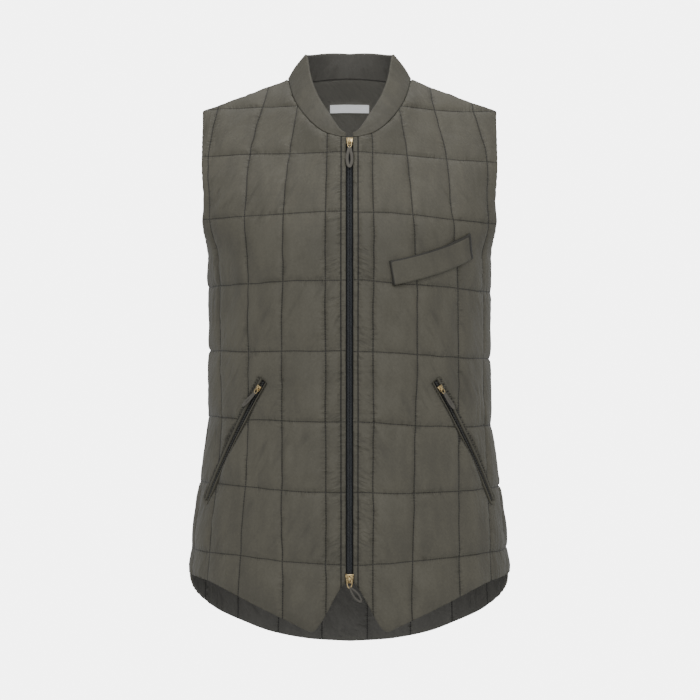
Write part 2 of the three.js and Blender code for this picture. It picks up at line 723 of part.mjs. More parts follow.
const seamInset = SEAM_GAP / 2 + SEAM_SLACK;
const frontOutline = halfOutline(
  FRONT_RINGS, FRONT_HEM, FRONT_ARMHOLE, FRONT_SHOULDER, FRONT_NECKLINE, seamInset,
);
const backHalf = halfOutline(
  BACK_RINGS, BACK_HEM, BACK_ARMHOLE, BACK_SHOULDER, BACK_NECKLINE, seamInset,
);
const backOutline = [
  ...backHalf,
  ...backHalf.slice(1, -1).reverse().map((spot) => new THREE.Vector2(-spot.x, spot.y)),
];
const pocketCut = pocketOutline(0);
const frontCloth = quiltedCloth(FRONT_SEAMS, frontOutline, [TAPE_OUTER], []).subtract(cutter(pocketCut));
const backCloth = quiltedCloth(
  BACK_SEAMS, backOutline, [-LABEL.half, LABEL.half], [LABEL.foot, LABEL.head],
);

const SIDES = [{ name: 'left', side: 1 }, { name: 'right', side: -1 }];
const pocketEdges = [frontOutline, pocketCut];

SIDES.forEach(({ name, side }) => {
  addPiece(`front_${name}`, wear(frontCloth, pinch(pocketEdges, onFront, side)), 'cloth');
});
addPiece('back', wear(backCloth, pinch([backOutline], onBack, 1)), 'cloth');
addPiece('collar', loft(bandCollar()), 'collar');

// Front zip: the closed chain and the tape behind each front edge
const zipRows = [
  ZIP_FOOT, ...linesBetween(GRID_ROWS, COARSE).filter((up) => up > ZIP_FOOT && up < ZIP_HEAD), ZIP_HEAD,
];
const chain = gridSlab([-CHAIN_HALF, 0, CHAIN_HALF], zipRows, () => CHAIN_TOP, () => CHAIN_BACK);
addPiece('zip_chain', wear(chain, onFront), 'chain');
SIDES.forEach(({ name, side }) => {
  const tape = gridSlab(
    [TAPE_INNER, EDGE_STITCH, TAPE_OUTER], zipRows, () => TAPE_TOP, () => TAPE_TOP - TAPE_THICK,
  );
  addPiece(`zip_tape_${name}`, wear(tape, (across, up, out) => onFront(across * side, up, out)), 'tape');
});

/** Adds a slider with its link and pull, all set on one local frame. */
function addSlider(name, frame, pull) {
  const turned = (solid) => wear(solid, (x, y, z) => new THREE.Vector3(x, y, z).applyMatrix4(frame));
  const hinge = new THREE.Vector3(0, 0, HINGE_OUT).applyMatrix4(frame);
  const line = new THREE.Vector3(-1, 0, 0).transformDirection(frame);
  vest.userData.hinges[name] = { at: hinge.toArray(), along: line.toArray() };
  addPiece(`${name}_slider`, turned(sliderBody()), 'gold');
  addPiece(`${name}_link`, turned(pullLink()), 'gold');
  addPiece(`${name}_pull`, turned(clothPull(pull)), 'pull');
}

const spotAt = (x, y) => new THREE.Vector2(x, y);
const sliderOut = CHAIN_TOP + SEAM_GAP;
const topFrame = frameOn(onFront, spotAt(0, 543.5), spotAt(0, 548), sliderOut);
addSlider('top', topFrame, { width: 9.5, length: 24, lean: 0 });
const bottomFrame = frameOn(onFront, spotAt(0, -16), spotAt(0, -10), sliderOut);
addSlider('bottom', bottomFrame, { width: 8, length: 22, lean: 35 });

// Slanted hip pockets
SIDES.forEach(({ name, side }) => {
  const place = onPocket(side);
  const half = POCKET_CHAIN / 2;
  const pocketChain = pocketStrip(
    -half, half, SEAM_GAP, POCKET_LENGTH - SEAM_GAP, -WALL, POCKET_PROUD - 1,
  );
  addPiece(`hip_${name}_zip`, wear(pocketChain, place), 'chain');
  addPiece(`hip_${name}_lips`, wear(pocketLips(), place), 'collar');
  const here = besidePocket(0.05, 0);
  const above = besidePocket(0.0, 0);
  const slant = frameOn(
    onFront, spotAt(here.x * side, here.y), spotAt(above.x * side, above.y), POCKET_PROUD + SEAM_GAP,
  );
  slant.multiply(new THREE.Matrix4().makeScale(HIP_SCALE, HIP_SCALE, HIP_SCALE));
  addSlider(`hip_${name}`, slant, { width: 7, length: 27, lean: HIP_LEAN[name] });
});

/** The chest welt's pattern grid, sagging a little along its length. */
function weltPoint(along, rise) {
  const slope = Math.atan2(WELT.outerUp - WELT.innerUp, WELT.outerAcross - WELT.innerAcross);
  const dip = -WELT.sag * 4 * along * (1 - along);
  const foot = spotAt(mix(WELT.innerAcross, WELT.outerAcross, along), mix(WELT.innerUp, WELT.outerUp, along));
  return spotAt(foot.x - Math.sin(slope) * (rise + dip) * WELT.lean, foot.y + rise + dip);
}

const weltFoot = PUFF + WELT.gap;
const weltGrid = gridSlab(
  Array.from({ length: WELT.steps + 1 }, (_, step) => step / WELT.steps),
  [0, WELT.height / 2, WELT.height], () => weltFoot + WELT.thick, () => weltFoot,
);
addPiece('chest_welt', wear(weltGrid, (along, rise, out) => {
  const spot = weltPoint(along, rise);
  return onFront(spot.x, spot.y, out);
}), 'collar');

// Blank woven label inside the back neck
const labelSlab = gridSlab(
  [-LABEL.half, BACK_SHIFT, BACK_FIRST_COLUMN + BACK_SHIFT, LABEL.half], [LABEL.foot, 7 * ROW, LABEL.head],
  () => -WALL - SEAM_GAP, () => -WALL - SEAM_GAP - LABEL.thick,
);
addPiece('neck_label', wear(labelSlab, onBack), 'label');

export default vest;
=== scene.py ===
"""A box-quilted vest, filled out and empty, with a band collar, a two-way zip and slanted pockets."""

import logging
import math
from dataclasses import dataclass, field
from enum import Enum
from functools import partial
from typing import Callable, Sequence

import bmesh
import bpy
import numpy as np
from mathutils import Matrix, Vector


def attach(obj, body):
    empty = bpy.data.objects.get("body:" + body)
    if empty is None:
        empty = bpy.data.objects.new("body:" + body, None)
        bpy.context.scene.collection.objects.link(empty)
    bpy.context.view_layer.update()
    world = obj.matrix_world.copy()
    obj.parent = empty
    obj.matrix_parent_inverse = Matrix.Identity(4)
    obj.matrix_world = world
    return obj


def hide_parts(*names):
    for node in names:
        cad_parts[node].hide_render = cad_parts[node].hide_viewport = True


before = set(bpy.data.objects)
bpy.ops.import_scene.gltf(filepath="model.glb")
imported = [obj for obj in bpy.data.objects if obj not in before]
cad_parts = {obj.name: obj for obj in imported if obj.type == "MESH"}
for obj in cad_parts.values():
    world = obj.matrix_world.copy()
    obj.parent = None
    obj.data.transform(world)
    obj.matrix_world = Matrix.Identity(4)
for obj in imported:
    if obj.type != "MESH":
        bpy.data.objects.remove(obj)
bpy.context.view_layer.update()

Array = np.ndarray
Material = bpy.types.Material
Mesh = bmesh.types.BMesh
Piece = bpy.types.Object
Socket = bpy.types.NodeSocket
Tint = Sequence[float] | Socket

log = logging.getLogger("vest")

MM = 0.001

# Cloth sizes in millimetres of pattern, as the solids have them
ROW = 88.0
COLUMN = 54.5
FIRST_COLUMN = 29.5
BACK_COLUMN = 60.0
BACK_FIRST_COLUMN = 31.0
BACK_SHIFT = -7.0
FRONT_EDGE = 4.7
EDGE_STITCH = 10.6
WALL = 2.2
SEAM_INSET = 0.2
SHOULDER_HEIGHT = 336.0
ARMPIT = 385.0
SIDE_HEM = -22.0
ZIP_FOOT = -22.0
ZIP_HEAD = 552.0
WELT_LENGTH = 118.0

# How the padding sinks, in millimetres: towards cut edges, the armhole, the neck corner and the pockets
PUFF = 3.0
EDGE_FADE = 11.0
ARMHOLE_FADE = 26.0
CORNER_FADE = 45.0
EDGE_ROLL = 0.7
ROLL_REACH = 1.6
POCKET_DEPTH = 1.2

# Wave lengths of the weave and the stitches, in metres
YARN = 0.42 * MM
STITCH = 3.0 * MM

# Faces under this many square millimetres outside the outline are spare
SPARE_AREA = 1.0
RING_RADIUS = 10.0
# Stands for no seam near, and for no facing
NO_LINE = 9.0
NO_FACING = 1e9


@dataclass(frozen=True)
class Ring:
    """One level ring of the worn body, in millimetres and degrees."""

    cloth: float
    height: float
    depth: float
    reach: float
    bend: float
    side: float
    neck: float


@dataclass(frozen=True)
class Spot:
    """A point of the flat pattern: across from the centre line, up from the lowest quilt row."""

    across: float
    up: float


FRONT_RINGS = tuple(Ring(*row) for row in (
    (-150, -418, -149, 297, 1.6, 90, 0), (-82, -350, -150, 292, 1.54, 90, 0),
    (0, -268, -150, 286.3, 1.479, 90, 0), (88, -178, -149, 275.2, 1.392, 90, 0),
    (176, -90, -148, 264.6, 1.309, 90, 0), (264, -2, -149, 264.5, 1.28, 90, 0),
    (352, 86, -152, 267.3, 1.267, 90, 0), (385, 118, -151, 267.9, 1.29, 90, 0),
    (440, 172, -143, 300, 1.6, 84, 6), (528, 250, -113, 300, 1.6, 30, 24),
    (616, 316.5, -87, 300, 1.6, 6, 40), (668, 358, -50, 300, 1.6, 4, 43),
))
BACK_RINGS = tuple(Ring(*row) for row in (
    (-150, -418, 125, 281, 1.95, 90, 0), (-82, -350, 124, 276, 1.9, 90, 0),
    (0, -268, 123, 269.4, 1.873, 90, 0), (88, -178, 120, 256.8, 1.803, 90, 0),
    (176, -90, 118, 245.3, 1.717, 90, 0), (264, -2, 118, 244.5, 1.69, 90, 0),
    (352, 86, 123, 248.4, 1.634, 90, 0), (385, 118, 125, 251, 1.619, 90, 0),
    (440, 172, 128, 290, 1.8, 84, 2), (528, 258, 119, 300, 1.7, 48, 5),
    (616, 333, 92, 280, 1.6, 40, 14), (668, 369, 61, 104, 1.8, 90, 0),
))
FRONT_HEM = (
    Spot(200, -26), Spot(147, -40.5), Spot(90, -63.5), Spot(56, -79), Spot(46, -82),
    Spot(36, -72), Spot(19, -41), Spot(12, -29), Spot(FRONT_EDGE, -21),
)
BACK_HEM = (
    Spot(259, -38), Spot(239, -53), Spot(214, -69), Spot(187, -85),
    Spot(151, -102), Spot(109, -119), Spot(58, -130), Spot(0, -134),
)
FRONT_ARMHOLE = (
    Spot(243, 391), Spot(220, 407), Spot(209, 434), Spot(205, 475), Spot(206, 528), Spot(212, 580),
)
BACK_ARMHOLE = (Spot(229, 391), Spot(213, 408), Spot(204, 440), Spot(202, 490), Spot(206, 545))
FRONT_NECKLINE = (Spot(88, 628), Spot(66, 594), Spot(38, 565), Spot(14, 554), Spot(FRONT_EDGE, 553))
BACK_NECKLINE = (Spot(84, 665), Spot(58, 664), Spot(28, 664), Spot(0, 664))
FRONT_SHOULDER = (Spot(101, 668), Spot(217, 614))
BACK_SHOULDER = (Spot(99, 667), Spot(214, 600))


@dataclass(frozen=True)
class Cut:
    """The tables of one body panel, and the sign that turns its surface outward."""

    rings: Sequence[Ring]
    hem: Sequence[Spot]
    armhole: Sequence[Spot]
    neckline: Sequence[Spot]
    neck: Spot
    tip: Spot
    sign: int


class Half(Enum):
    """The two body panels of the pattern."""

    FRONT = Cut(FRONT_RINGS, FRONT_HEM, FRONT_ARMHOLE, FRONT_NECKLINE, *FRONT_SHOULDER, 1)
    BACK = Cut(BACK_RINGS, BACK_HEM, BACK_ARMHOLE, BACK_NECKLINE, *BACK_SHOULDER, -1)


@dataclass(frozen=True)
class Drift:
    """How far the quilting strays from its even grid at one height of a front, in millimetres."""

    up: float
    second: float
    third: float
    fourth: float
    rise: float


# second, third, fourth: outward stray of those columns; rise: upward stray of the rows at the side
LEFT_DRIFT = (
    Drift(-60, -7, 5, 9, 11), Drift(0, -5, 5.7, 9, 11), Drift(88, -3, 6.7, 13, 0),
    Drift(176, -1, 9, 18, -9), Drift(264, 1.5, 9, 19, -8), Drift(340, 3, 9, 18, -10.5),
    Drift(372, 1, 7.5, 11, -11), Drift(405, -2.5, -1, 2, -11.3), Drift(440, -4.5, -6, -2.6, -11.5),
    Drift(528, -6.5, -5.4, -3, -8.5), Drift(592, -6.5, -6.5, -6, -6), Drift(668, -12, -11, -10, 0),
)
RIGHT_DRIFT = (
    Drift(-60, 0, 8.5, 10, 10.5), Drift(0, 0.4, 5, 7.5, 10.5), Drift(88, 1.8, -1, -1, 7),
    Drift(176, 2.2, -3.5, -3.6, 3.5), Drift(264, 2.4, -3.6, 0, 0.5), Drift(340, 1.8, -2.4, 1.5, -3.2),
    Drift(372, 1, -2.2, 2.5, -4.5), Drift(405, 0, -2, 0.5, -5.5), Drift(440, -1, -2, 1, -6),
    Drift(528, -1.5, 0, 4, 1.5), Drift(592, -3, -1.5, 4.5, 0.8), Drift(668, -5, -12, 0, 0),
)


def smooth(value: Array | float) -> Array:
    """Ease from 0 to 1."""
    part = np.clip(value, 0.0, 1.0)
    return part * part * (3 - 2 * part)


def unit(vectors: Array) -> Array:
    """Vectors at length 1."""
    return vectors / np.linalg.norm(vectors, axis=1)[:, None]


def read_table(rows: Sequence, column: str, at: Array, by: str = "cloth") -> Array:
    """Read one column of a table at any amounts, smoothly between its rows.

    Args:
        rows: Table rows, rising in the column `by`.
        column: The column to read.
        at: Where to read it.
        by: The column that `at` is measured in.

    Returns:
        The column's values, with no overshoot between rows.
    """
    xs = np.array([getattr(row, by) for row in rows], float)
    ys = np.array([getattr(row, column) for row in rows], float)
    rates = np.diff(ys) / np.diff(xs)
    before = np.concatenate([rates[:1], rates])
    after = np.concatenate([rates, rates[-1:]])
    same = before * after > 0
    slopes = np.where(same, 2 * before * after / np.where(same, before + after, 1), 0)
    at = np.asarray(at, float)
    row = np.clip(np.searchsorted(xs, at, side="left") - 1, 0, len(xs) - 2)
    span = xs[row + 1] - xs[row]
    part = (at - xs[row]) / span
    square = part * part
    cube = square * part
    return (
        (2 * cube - 3 * square + 1) * ys[row]
        + (cube - 2 * square + part) * span * slopes[row]
        + (3 * square - 2 * cube) * ys[row + 1]
        + (cube - square) * span * slopes[row + 1]
    )


def spline(spots: Sequence[Spot], pieces: int) -> Array:
    """Smooth line through pattern spots, as an array of (across, up)."""
    points = np.array([(spot.across, spot.up) for spot in spots], float)
    last = len(points) - 1
    reach = np.linspace(0, last, pieces + 1)
    index = np.minimum(reach.astype(int), last - 1)
    part = (reach - index)[:, None]
    before = points[np.maximum(index - 1, 0)]
    start = points[index]
    end = points[index + 1]
    after = points[np.minimum(index + 2, last)]
    leave = (end - before) * 0.5
    enter = (after - start) * 0.5
    return (
        (2 * start - 2 * end + leave + enter) * part**3
        + (3 * end - 3 * start - 2 * leave - enter) * part**2
        + leave * part
        + start
    )


def rows_of(points: Array) -> tuple[Array, Array]:
    """Order a line's points by height for reading across by up."""
    order = points if points[0, 1] < points[-1, 1] else points[::-1]
    heights = np.maximum.accumulate(order[:, 1] + np.arange(len(order)) * 1e-6)
    return heights, order[:, 0]


class LatticeNoise:
    """Repeatable smooth noise over the pattern."""

    size = 64

    def __init__(self, seed: int) -> None:
        """Fill the lattice from a seed."""
        self.values = np.random.RandomState(seed).uniform(-1, 1, (self.size, self.size))

    def __call__(self, x: Array, y: Array) -> Array:
        """Noise from -1 to 1 at lattice places x, y."""
        x = np.asarray(x, float)
        y = np.asarray(y, float)
        column = np.floor(x).astype(int)
        row = np.floor(y).astype(int)
        ease_x = smooth(x - column)
        ease_y = smooth(y - row)
        corners = [
            self.values[(row + up) % self.size, (column + along) % self.size] for up in (0, 1) for along in (0, 1)
        ]
        near = corners[0] * (1 - ease_x) + corners[1] * ease_x
        far = corners[2] * (1 - ease_x) + corners[3] * ease_x
        return near * (1 - ease_y) + far * ease_y


class WornForm:
    """Places pattern points on the filled-out vest."""

    steps = 24
    neck_reach = 50.0
    side_pull = 4
    armpit_fade = 60.0
    shoulder_fade = 125.0
    probe = 1.5

    def ring_points(self, rings: Sequence[Ring], across: Array, up: Array, outward: float) -> Array:
        """Walk each level ring out from its centre line.

        Args:
            rings: The table of one half.
            across: Cloth from the centre line.
            up: Cloth up from the lowest quilt row.
            outward: 1 for the back, -1 for the front.

        Returns:
            Points in millimetres, one row each.
        """
        reach = read_table(rings, "reach", up)
        bend = read_table(rings, "bend", up)
        side = np.radians(read_table(rings, "side", up))
        neck = np.radians(read_table(rings, "neck", up))
        step = across / self.steps
        x = np.zeros_like(across)
        turned = np.zeros_like(across)
        for index in range(self.steps):
            walked = np.abs((index + 0.5) * step)
            early = walked / self.neck_reach * np.exp(1 - walked / self.neck_reach)
            angle = side * (walked / reach) ** bend + neck * early
            x += np.cos(angle) * step
            turned += np.sin(angle) * np.abs(step)
        y = read_table(rings, "depth", up) - outward * turned
        z = read_table(rings, "height", up) - SHOULDER_HEIGHT
        return np.stack([x, y, z], axis=-1)

    def front(self, across: Array, up: Array) -> Array:
        """Points of the bare front."""
        return self.ring_points(FRONT_RINGS, across, up, -1)

    def plain_back(self, across: Array, up: Array) -> Array:
        """Points of the back before it meets the front's seams."""
        return self.ring_points(BACK_RINGS, across, up, 1)

    @staticmethod
    def along_shoulder(half: Half, part: Array) -> tuple[Array, Array]:
        """Pattern points part of the way from the neck to the shoulder tip."""
        neck, tip = half.value.neck, half.value.tip
        return neck.across + (tip.across - neck.across) * part, neck.up + (tip.up - neck.up) * part

    @staticmethod
    def shoulder_part(half: Half, across: Array) -> Array:
        """Share of the way from the neck to the shoulder tip."""
        neck, tip = half.value.neck, half.value.tip
        return np.clip((np.abs(across) - neck.across) / (tip.across - neck.across), 0, 1)

    def back(self, across: Array, up: Array) -> Array:
        """Points of the back, drawn to the front's side and shoulder seams where it meets them."""
        points = self.plain_back(across, up)
        level = np.minimum(up, ARMPIT)
        front_reach = read_table(FRONT_RINGS, "reach", level)
        back_reach = read_table(BACK_RINGS, "reach", level)
        sideways = np.clip(np.abs(across) / back_reach, 0, 1) ** self.side_pull
        sideways = sideways * (1 - smooth((up - ARMPIT) / self.armpit_fade))
        side_move = self.front(front_reach, level) - self.plain_back(back_reach, level)
        part = self.shoulder_part(Half.BACK, across)
        here = self.along_shoulder(Half.BACK, part)
        there = self.along_shoulder(Half.FRONT, part)
        upward = 1 - smooth((here[1] - up) / self.shoulder_fade)
        upward = upward * smooth(np.abs(across) / Half.BACK.value.neck.across)
        seam_move = self.front(*there) - self.plain_back(*here)
        move = side_move * sideways[:, None] + seam_move * upward[:, None]
        move[:, 0] *= np.where(across < 0, -1, 1)
        return points + move

    def outward(self, half: Half, across: Array, up: Array) -> Array:
        """Outward directions, shared by both halves along their common seams."""
        place = self.front if half is Half.FRONT else self.back
        cut = half.value
        right = place(across + self.probe, up) - place(across - self.probe, up)
        above = place(across, up + self.probe) - place(across, up - self.probe)
        direction = unit(np.cross(right, above) * cut.sign)
        side = np.where(across < 0, -1.0, 1.0)
        seam_up = self.along_shoulder(half, self.shoulder_part(half, across))[1]
        beside = np.clip((cut.neck.across - np.abs(across)) / ROW, 0, 1)
        shoulder = ((1 - smooth((seam_up - up) / 34)) * (1 - smooth(beside * 2)))[:, None]
        ridge = np.stack([0.3 * side, np.zeros_like(side), np.full_like(side, 0.95)], axis=-1)
        direction = unit(direction * (1 - shoulder) + ridge * shoulder)
        to_side = read_table(cut.rings, "reach", np.minimum(up, ARMPIT)) - np.abs(across)
        sideways = ((1 - smooth(to_side / 26)) * (1 - smooth((up - ARMPIT) / 20)))[:, None]
        straight = np.stack([side, np.zeros_like(side), np.zeros_like(side)], axis=-1)
        return unit(direction * (1 - sideways) + straight * sideways)

    def place(self, half: Half, across: Array, up: Array, out: Array) -> Array:
        """Worn points in metres.

        Args:
            half: Which panel of the pattern.
            across: Millimetres across, negative on the wearer's right.
            up: Millimetres up the cloth.
            out: Millimetres out from the bare cloth.

        Returns:
            Points in metres, one row each.
        """
        across, up, out = np.broadcast_arrays(
            np.atleast_1d(np.asarray(across, float)), np.asarray(up, float), np.asarray(out, float)
        )
        bare = self.front if half is Half.FRONT else self.back
        return (bare(across, up) + self.outward(half, across, up) * out[:, None]) * MM


FORM = WornForm()


@dataclass(frozen=True)
class Pattern:
    """The flat outline of one panel, as bounds across at each height."""

    half: Half

    @property
    def cut(self) -> Cut:
        """The tables of this half."""
        return self.half.value

    def side(self, up: Array | float) -> Array:
        """How far across the side seam lies."""
        return read_table(self.cut.rings, "reach", up) - SEAM_INSET

    def hem(self) -> Array:
        """Hem line from the side seam inwards."""
        return spline((Spot(float(self.side(SIDE_HEM)), SIDE_HEM), *self.cut.hem), 80)

    def armhole(self) -> Array:
        """Armhole line from the side seam to the shoulder tip."""
        pit = Spot(float(self.side(ARMPIT)), ARMPIT)
        tip = Spot(self.cut.tip.across, self.cut.tip.up - SEAM_INSET)
        return spline((pit, *self.cut.armhole, tip), 80)

    def neckline(self) -> Array:
        """Neckline from the shoulder seam to the centre."""
        neck = Spot(self.cut.neck.across, self.cut.neck.up - SEAM_INSET)
        return spline((neck, *self.cut.neckline), 60)

    def outer_bound(self, up: Array) -> Array:
        """How far across the panel reaches at each height."""
        arm_up, arm_across = rows_of(self.armhole())
        return np.where(up > ARMPIT, np.interp(up, arm_up, arm_across), self.side(np.minimum(up, ARMPIT)))

    def lower_bound(self, across: Array) -> Array:
        """The hem's height at each place across."""
        line = self.hem()[::-1]
        return np.interp(np.abs(across), line[:, 0], line[:, 1])

    def upper_bound(self, across: Array) -> Array:
        """The neckline's or shoulder seam's height at each place across."""
        line = self.neckline()[::-1]
        xs = [*line[:, 0], self.cut.tip.across]
        ys = [*line[:, 1], self.cut.tip.up - SEAM_INSET]
        return np.interp(np.abs(across), xs, ys, right=1e9)

    def clip(self, across: Array, up: Array) -> tuple[Array, Array]:
        """Draw pattern points that lie outside the outline in to it."""
        for _ in range(2):
            outer = self.outer_bound(up)
            inner = FRONT_EDGE if self.half is Half.FRONT else -outer
            across = np.clip(across, inner, outer)
            up = np.clip(up, self.lower_bound(across), self.upper_bound(across))
        return across, up

    def edges(self) -> Array:
        """Points all along the cut edges of this panel, on the wearer's left."""
        heights = np.linspace(SIDE_HEM, ARMPIT, 140)
        side = np.stack([self.side(heights), heights], axis=-1)
        shoulder = np.stack(FORM.along_shoulder(self.half, np.linspace(0, 1, 40)), axis=-1)
        lines = [self.hem(), side, self.armhole(), shoulder, self.neckline()]
        if self.half is Half.FRONT:
            centre = np.linspace(FRONT_HEM[-1].up, FRONT_NECKLINE[-1].up, 200)
            lines.append(np.stack([np.full_like(centre, FRONT_EDGE), centre], axis=-1))
        return np.concatenate(lines)


def lines_through(keys: Sequence[float], spacing: float) -> Array:
    """Grid lines that pass through each key, about evenly spaced between keys."""
    lines = []
    for start, end in zip(keys, keys[1:]):
        count = max(1, round((end - start) / spacing))
        lines.extend(np.linspace(start, end, count, endpoint=False))
    return np.array([*lines, keys[-1]])


def gap_to(lines: Array, at: Array) -> Array:
    """Distance to the nearest of some lines."""
    return np.min(np.abs(np.asarray(at)[:, None] - np.asarray(lines)[None, :]), axis=1)


def crown(seams: Array, at: Array) -> Array:
    """Height of the padding between the two nearest quilt seams, 0 at a seam."""
    next_seam = np.clip(np.searchsorted(seams, at, side="right"), 1, len(seams) - 1)
    low = seams[next_seam - 1]
    span = seams[next_seam] - low
    part = np.clip((at - low) / span, 0, 1)
    return np.minimum(1, (1 - np.abs(2 * part - 1) ** 3) * np.minimum(1, span / 30))


def distance_to(points: Array, across: Array, up: Array) -> Array:
    """Distance from pattern points to the nearest edge point, worked in slices to save memory."""
    spots = np.stack([across, up], axis=-1)
    found = np.empty(len(spots))
    slice_size = 4000
    for start in range(0, len(spots), slice_size):
        chunk = spots[start : start + slice_size]
        found[start : start + slice_size] = np.sqrt(
            ((chunk[:, None, :] - points[None, :, :]) ** 2).sum(axis=2).min(axis=1)
        )
    return found


@dataclass
class GridSheet:
    """A flat grid of pattern lines that becomes a walled sheet of cloth."""

    columns: Array
    rows: Array
    settle: Callable[[Array, Array], tuple[Array, ...]] | None = None
    bm: Mesh = field(default_factory=bmesh.new)

    def __post_init__(self) -> None:
        """Lay the grid, draw its edges in and add the inner layer."""
        self.lay()
        self.thicken()

    def lay(self) -> None:
        """Lay the grid out flat in millimetres and draw its edges in to the outline."""
        bm = self.bm
        width = len(self.columns) - 1
        height = len(self.rows) - 1
        bmesh.ops.create_grid(bm, x_segments=width, y_segments=height, size=0.5)
        places = np.array([vert.co[:2] for vert in bm.verts]) + 0.5
        across = self.columns[np.rint(places[:, 0] * width).astype(int)]
        up = self.rows[np.rint(places[:, 1] * height).astype(int)]
        outside = np.zeros(len(across), bool)
        if self.settle:
            across, up, outside = self.settle(across, up)
        for vert, x, y in zip(bm.verts, across, up):
            vert.co = (x, y, 0.0)
        bm.verts.index_update()
        spare = [
            face for face in bm.faces
            if all(outside[vert.index] for vert in face.verts) and face.calc_area() < SPARE_AREA
        ]
        bmesh.ops.delete(bm, geom=spare, context="FACES")
        bmesh.ops.remove_doubles(bm, verts=bm.verts, dist=0.05)

    def thicken(self) -> None:
        """Add the inner layer and the walls round the edge, still flat: the inner layer lies at -1."""
        made = bmesh.ops.extrude_face_region(self.bm, geom=list(self.bm.faces))
        new_verts = [item for item in made["geom"] if isinstance(item, bmesh.types.BMVert)]
        bmesh.ops.translate(self.bm, verts=new_verts, vec=(0, 0, -1))
        bmesh.ops.recalc_face_normals(self.bm, faces=self.bm.faces)

    def points(self) -> tuple[Array, Array, Array]:
        """Places across and up of the flat sheet's points, and which of them are inner ones."""
        flat = np.array([vert.co[:] for vert in self.bm.verts])
        return flat[:, 0], flat[:, 1], flat[:, 2] < -0.5

    def finish(self, name: str, points: Array, values: dict[str, Array]) -> Piece:
        """Move the flat points into place and make the object.

        Args:
            name: The object's name.
            points: Where each point goes, in metres.
            values: Point attributes by name.

        Returns:
            The new object, with its pattern coordinates as UVs in metres and its inner faces in slot 1.
        """
        flat = np.stack(self.points()[:2], axis=-1) * MM
        for face in self.bm.faces:
            face.material_index = int(all(vert.co.z < -0.5 for vert in face.verts))
        for vert, place in zip(self.bm.verts, points):
            vert.co = place
        bmesh.ops.recalc_face_normals(self.bm, faces=self.bm.faces)
        mesh = bpy.data.meshes.new(name)
        self.bm.to_mesh(mesh)
        self.bm.free()
        corners = np.empty(len(mesh.loops), int)
        mesh.loops.foreach_get("vertex_index", corners)
        layer = mesh.uv_layers.new(name="pattern")
        layer.data.foreach_set("uv", flat[corners].astype(np.float32).ravel())
        for key, amounts in values.items():
            attribute = mesh.attributes.new(key, "FLOAT", "POINT")
            attribute.data.foreach_set("value", amounts.astype(np.float32))
        mesh.shade_smooth()
        return link_object(name, mesh)


def link_object(name: str, mesh: bpy.types.Mesh) -> Piece:
    """Make a scene object from a mesh."""
    made = bpy.data.objects.new(name, mesh)
    bpy.context.scene.collection.objects.link(made)
    return made


def from_bmesh(name: str, bm: Mesh) -> Piece:
    """Make a smooth scene object from a bmesh, with its faces out and pattern coordinates on them."""
    bmesh.ops.recalc_face_normals(bm, faces=bm.faces)
    if "pattern" not in bm.loops.layers.uv:
        layer = bm.loops.layers.uv.new("pattern")
        for face in bm.faces:
            for loop in face.loops:
                loop[layer].uv = (loop.vert.co.x, loop.vert.co.z)
    mesh = bpy.data.meshes.new(name)
    bm.to_mesh(mesh)
    bm.free()
    mesh.shade_smooth()
    return link_object(name, mesh)


def hand_over(made: Piece, slot: str, *finishes: Material, node: str = "", body: str = "vest") -> Piece:
    """Give a piece its finishes, its body and the solid that it stands for.

    Args:
        made: The piece.
        slot: Not used.
        finishes: Its materials, the inner faces' second.
        node: The solid it replaces.
        body: The body it rides on.

    Returns:
        The piece.
    """
    for finish in finishes:
        made.data.materials.append(finish)
    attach(made, body)
    if node:
        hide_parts(node)
    log.info("%s: %d faces", made.name, len(made.data.polygons))
    return made


def tinted(colour: Sequence[float], share: float) -> tuple[float, ...]:
    """A colour made lighter or darker."""
    return tuple(channel * share for channel in colour)


class Value:
    """A shader value that adds, multiplies and compares like a number."""

    def __init__(self, tree: bpy.types.NodeTree, socket: Socket) -> None:
        """Wrap a socket of a node tree."""
        self.tree = tree
        self.socket = socket

    def math(self, operation: str, *others: "Value | float", swap: bool = False) -> "Value":
        """Join this value to others through one Math node.

        Args:
            operation: The Math node's operation.
            others: Second and third operands.
            swap: Put this value second.

        Returns:
            The node's result.
        """
        made = self.tree.nodes.new("ShaderNodeMath")
        made.operation = operation
        operands = [*others, self] if swap else [self, *others]
        for slot, operand in zip(made.inputs, operands):
            if isinstance(operand, Value):
                self.tree.links.new(operand.socket, slot)
            else:
                slot.default_value = operand
        return Value(self.tree, made.outputs[0])

    def __add__(self, other: "Value | float") -> "Value":
        """Sum."""
        return self.math("ADD", other)

    __radd__ = __add__

    def __sub__(self, other: "Value | float") -> "Value":
        """Difference."""
        return self.math("SUBTRACT", other)

    def __rsub__(self, other: float) -> "Value":
        """Difference from a number."""
        return self.math("SUBTRACT", other, swap=True)

    def __mul__(self, other: "Value | float") -> "Value":
        """Product."""
        return self.math("MULTIPLY", other)

    __rmul__ = __mul__

    def __truediv__(self, other: "Value | float") -> "Value":
        """Quotient."""
        return self.math("DIVIDE", other)

    def wave(self, length: float) -> "Value":
        """Sine of this length in metres, over one wave length."""
        return (self * (2 * math.pi / length)).math("SINE")

    def peak(self, other: "Value") -> "Value":
        """The greater of two values."""
        return self.math("MAXIMUM", other)

    def ramp(self, low: float, high: float) -> "Value":
        """Ease from 0 at low to 1 at high."""
        made = self.tree.nodes.new("ShaderNodeMapRange")
        made.interpolation_type = "SMOOTHSTEP"
        self.tree.links.new(self.socket, made.inputs["Value"])
        made.inputs["From Min"].default_value = low
        made.inputs["From Max"].default_value = high
        return Value(self.tree, made.outputs["Result"])


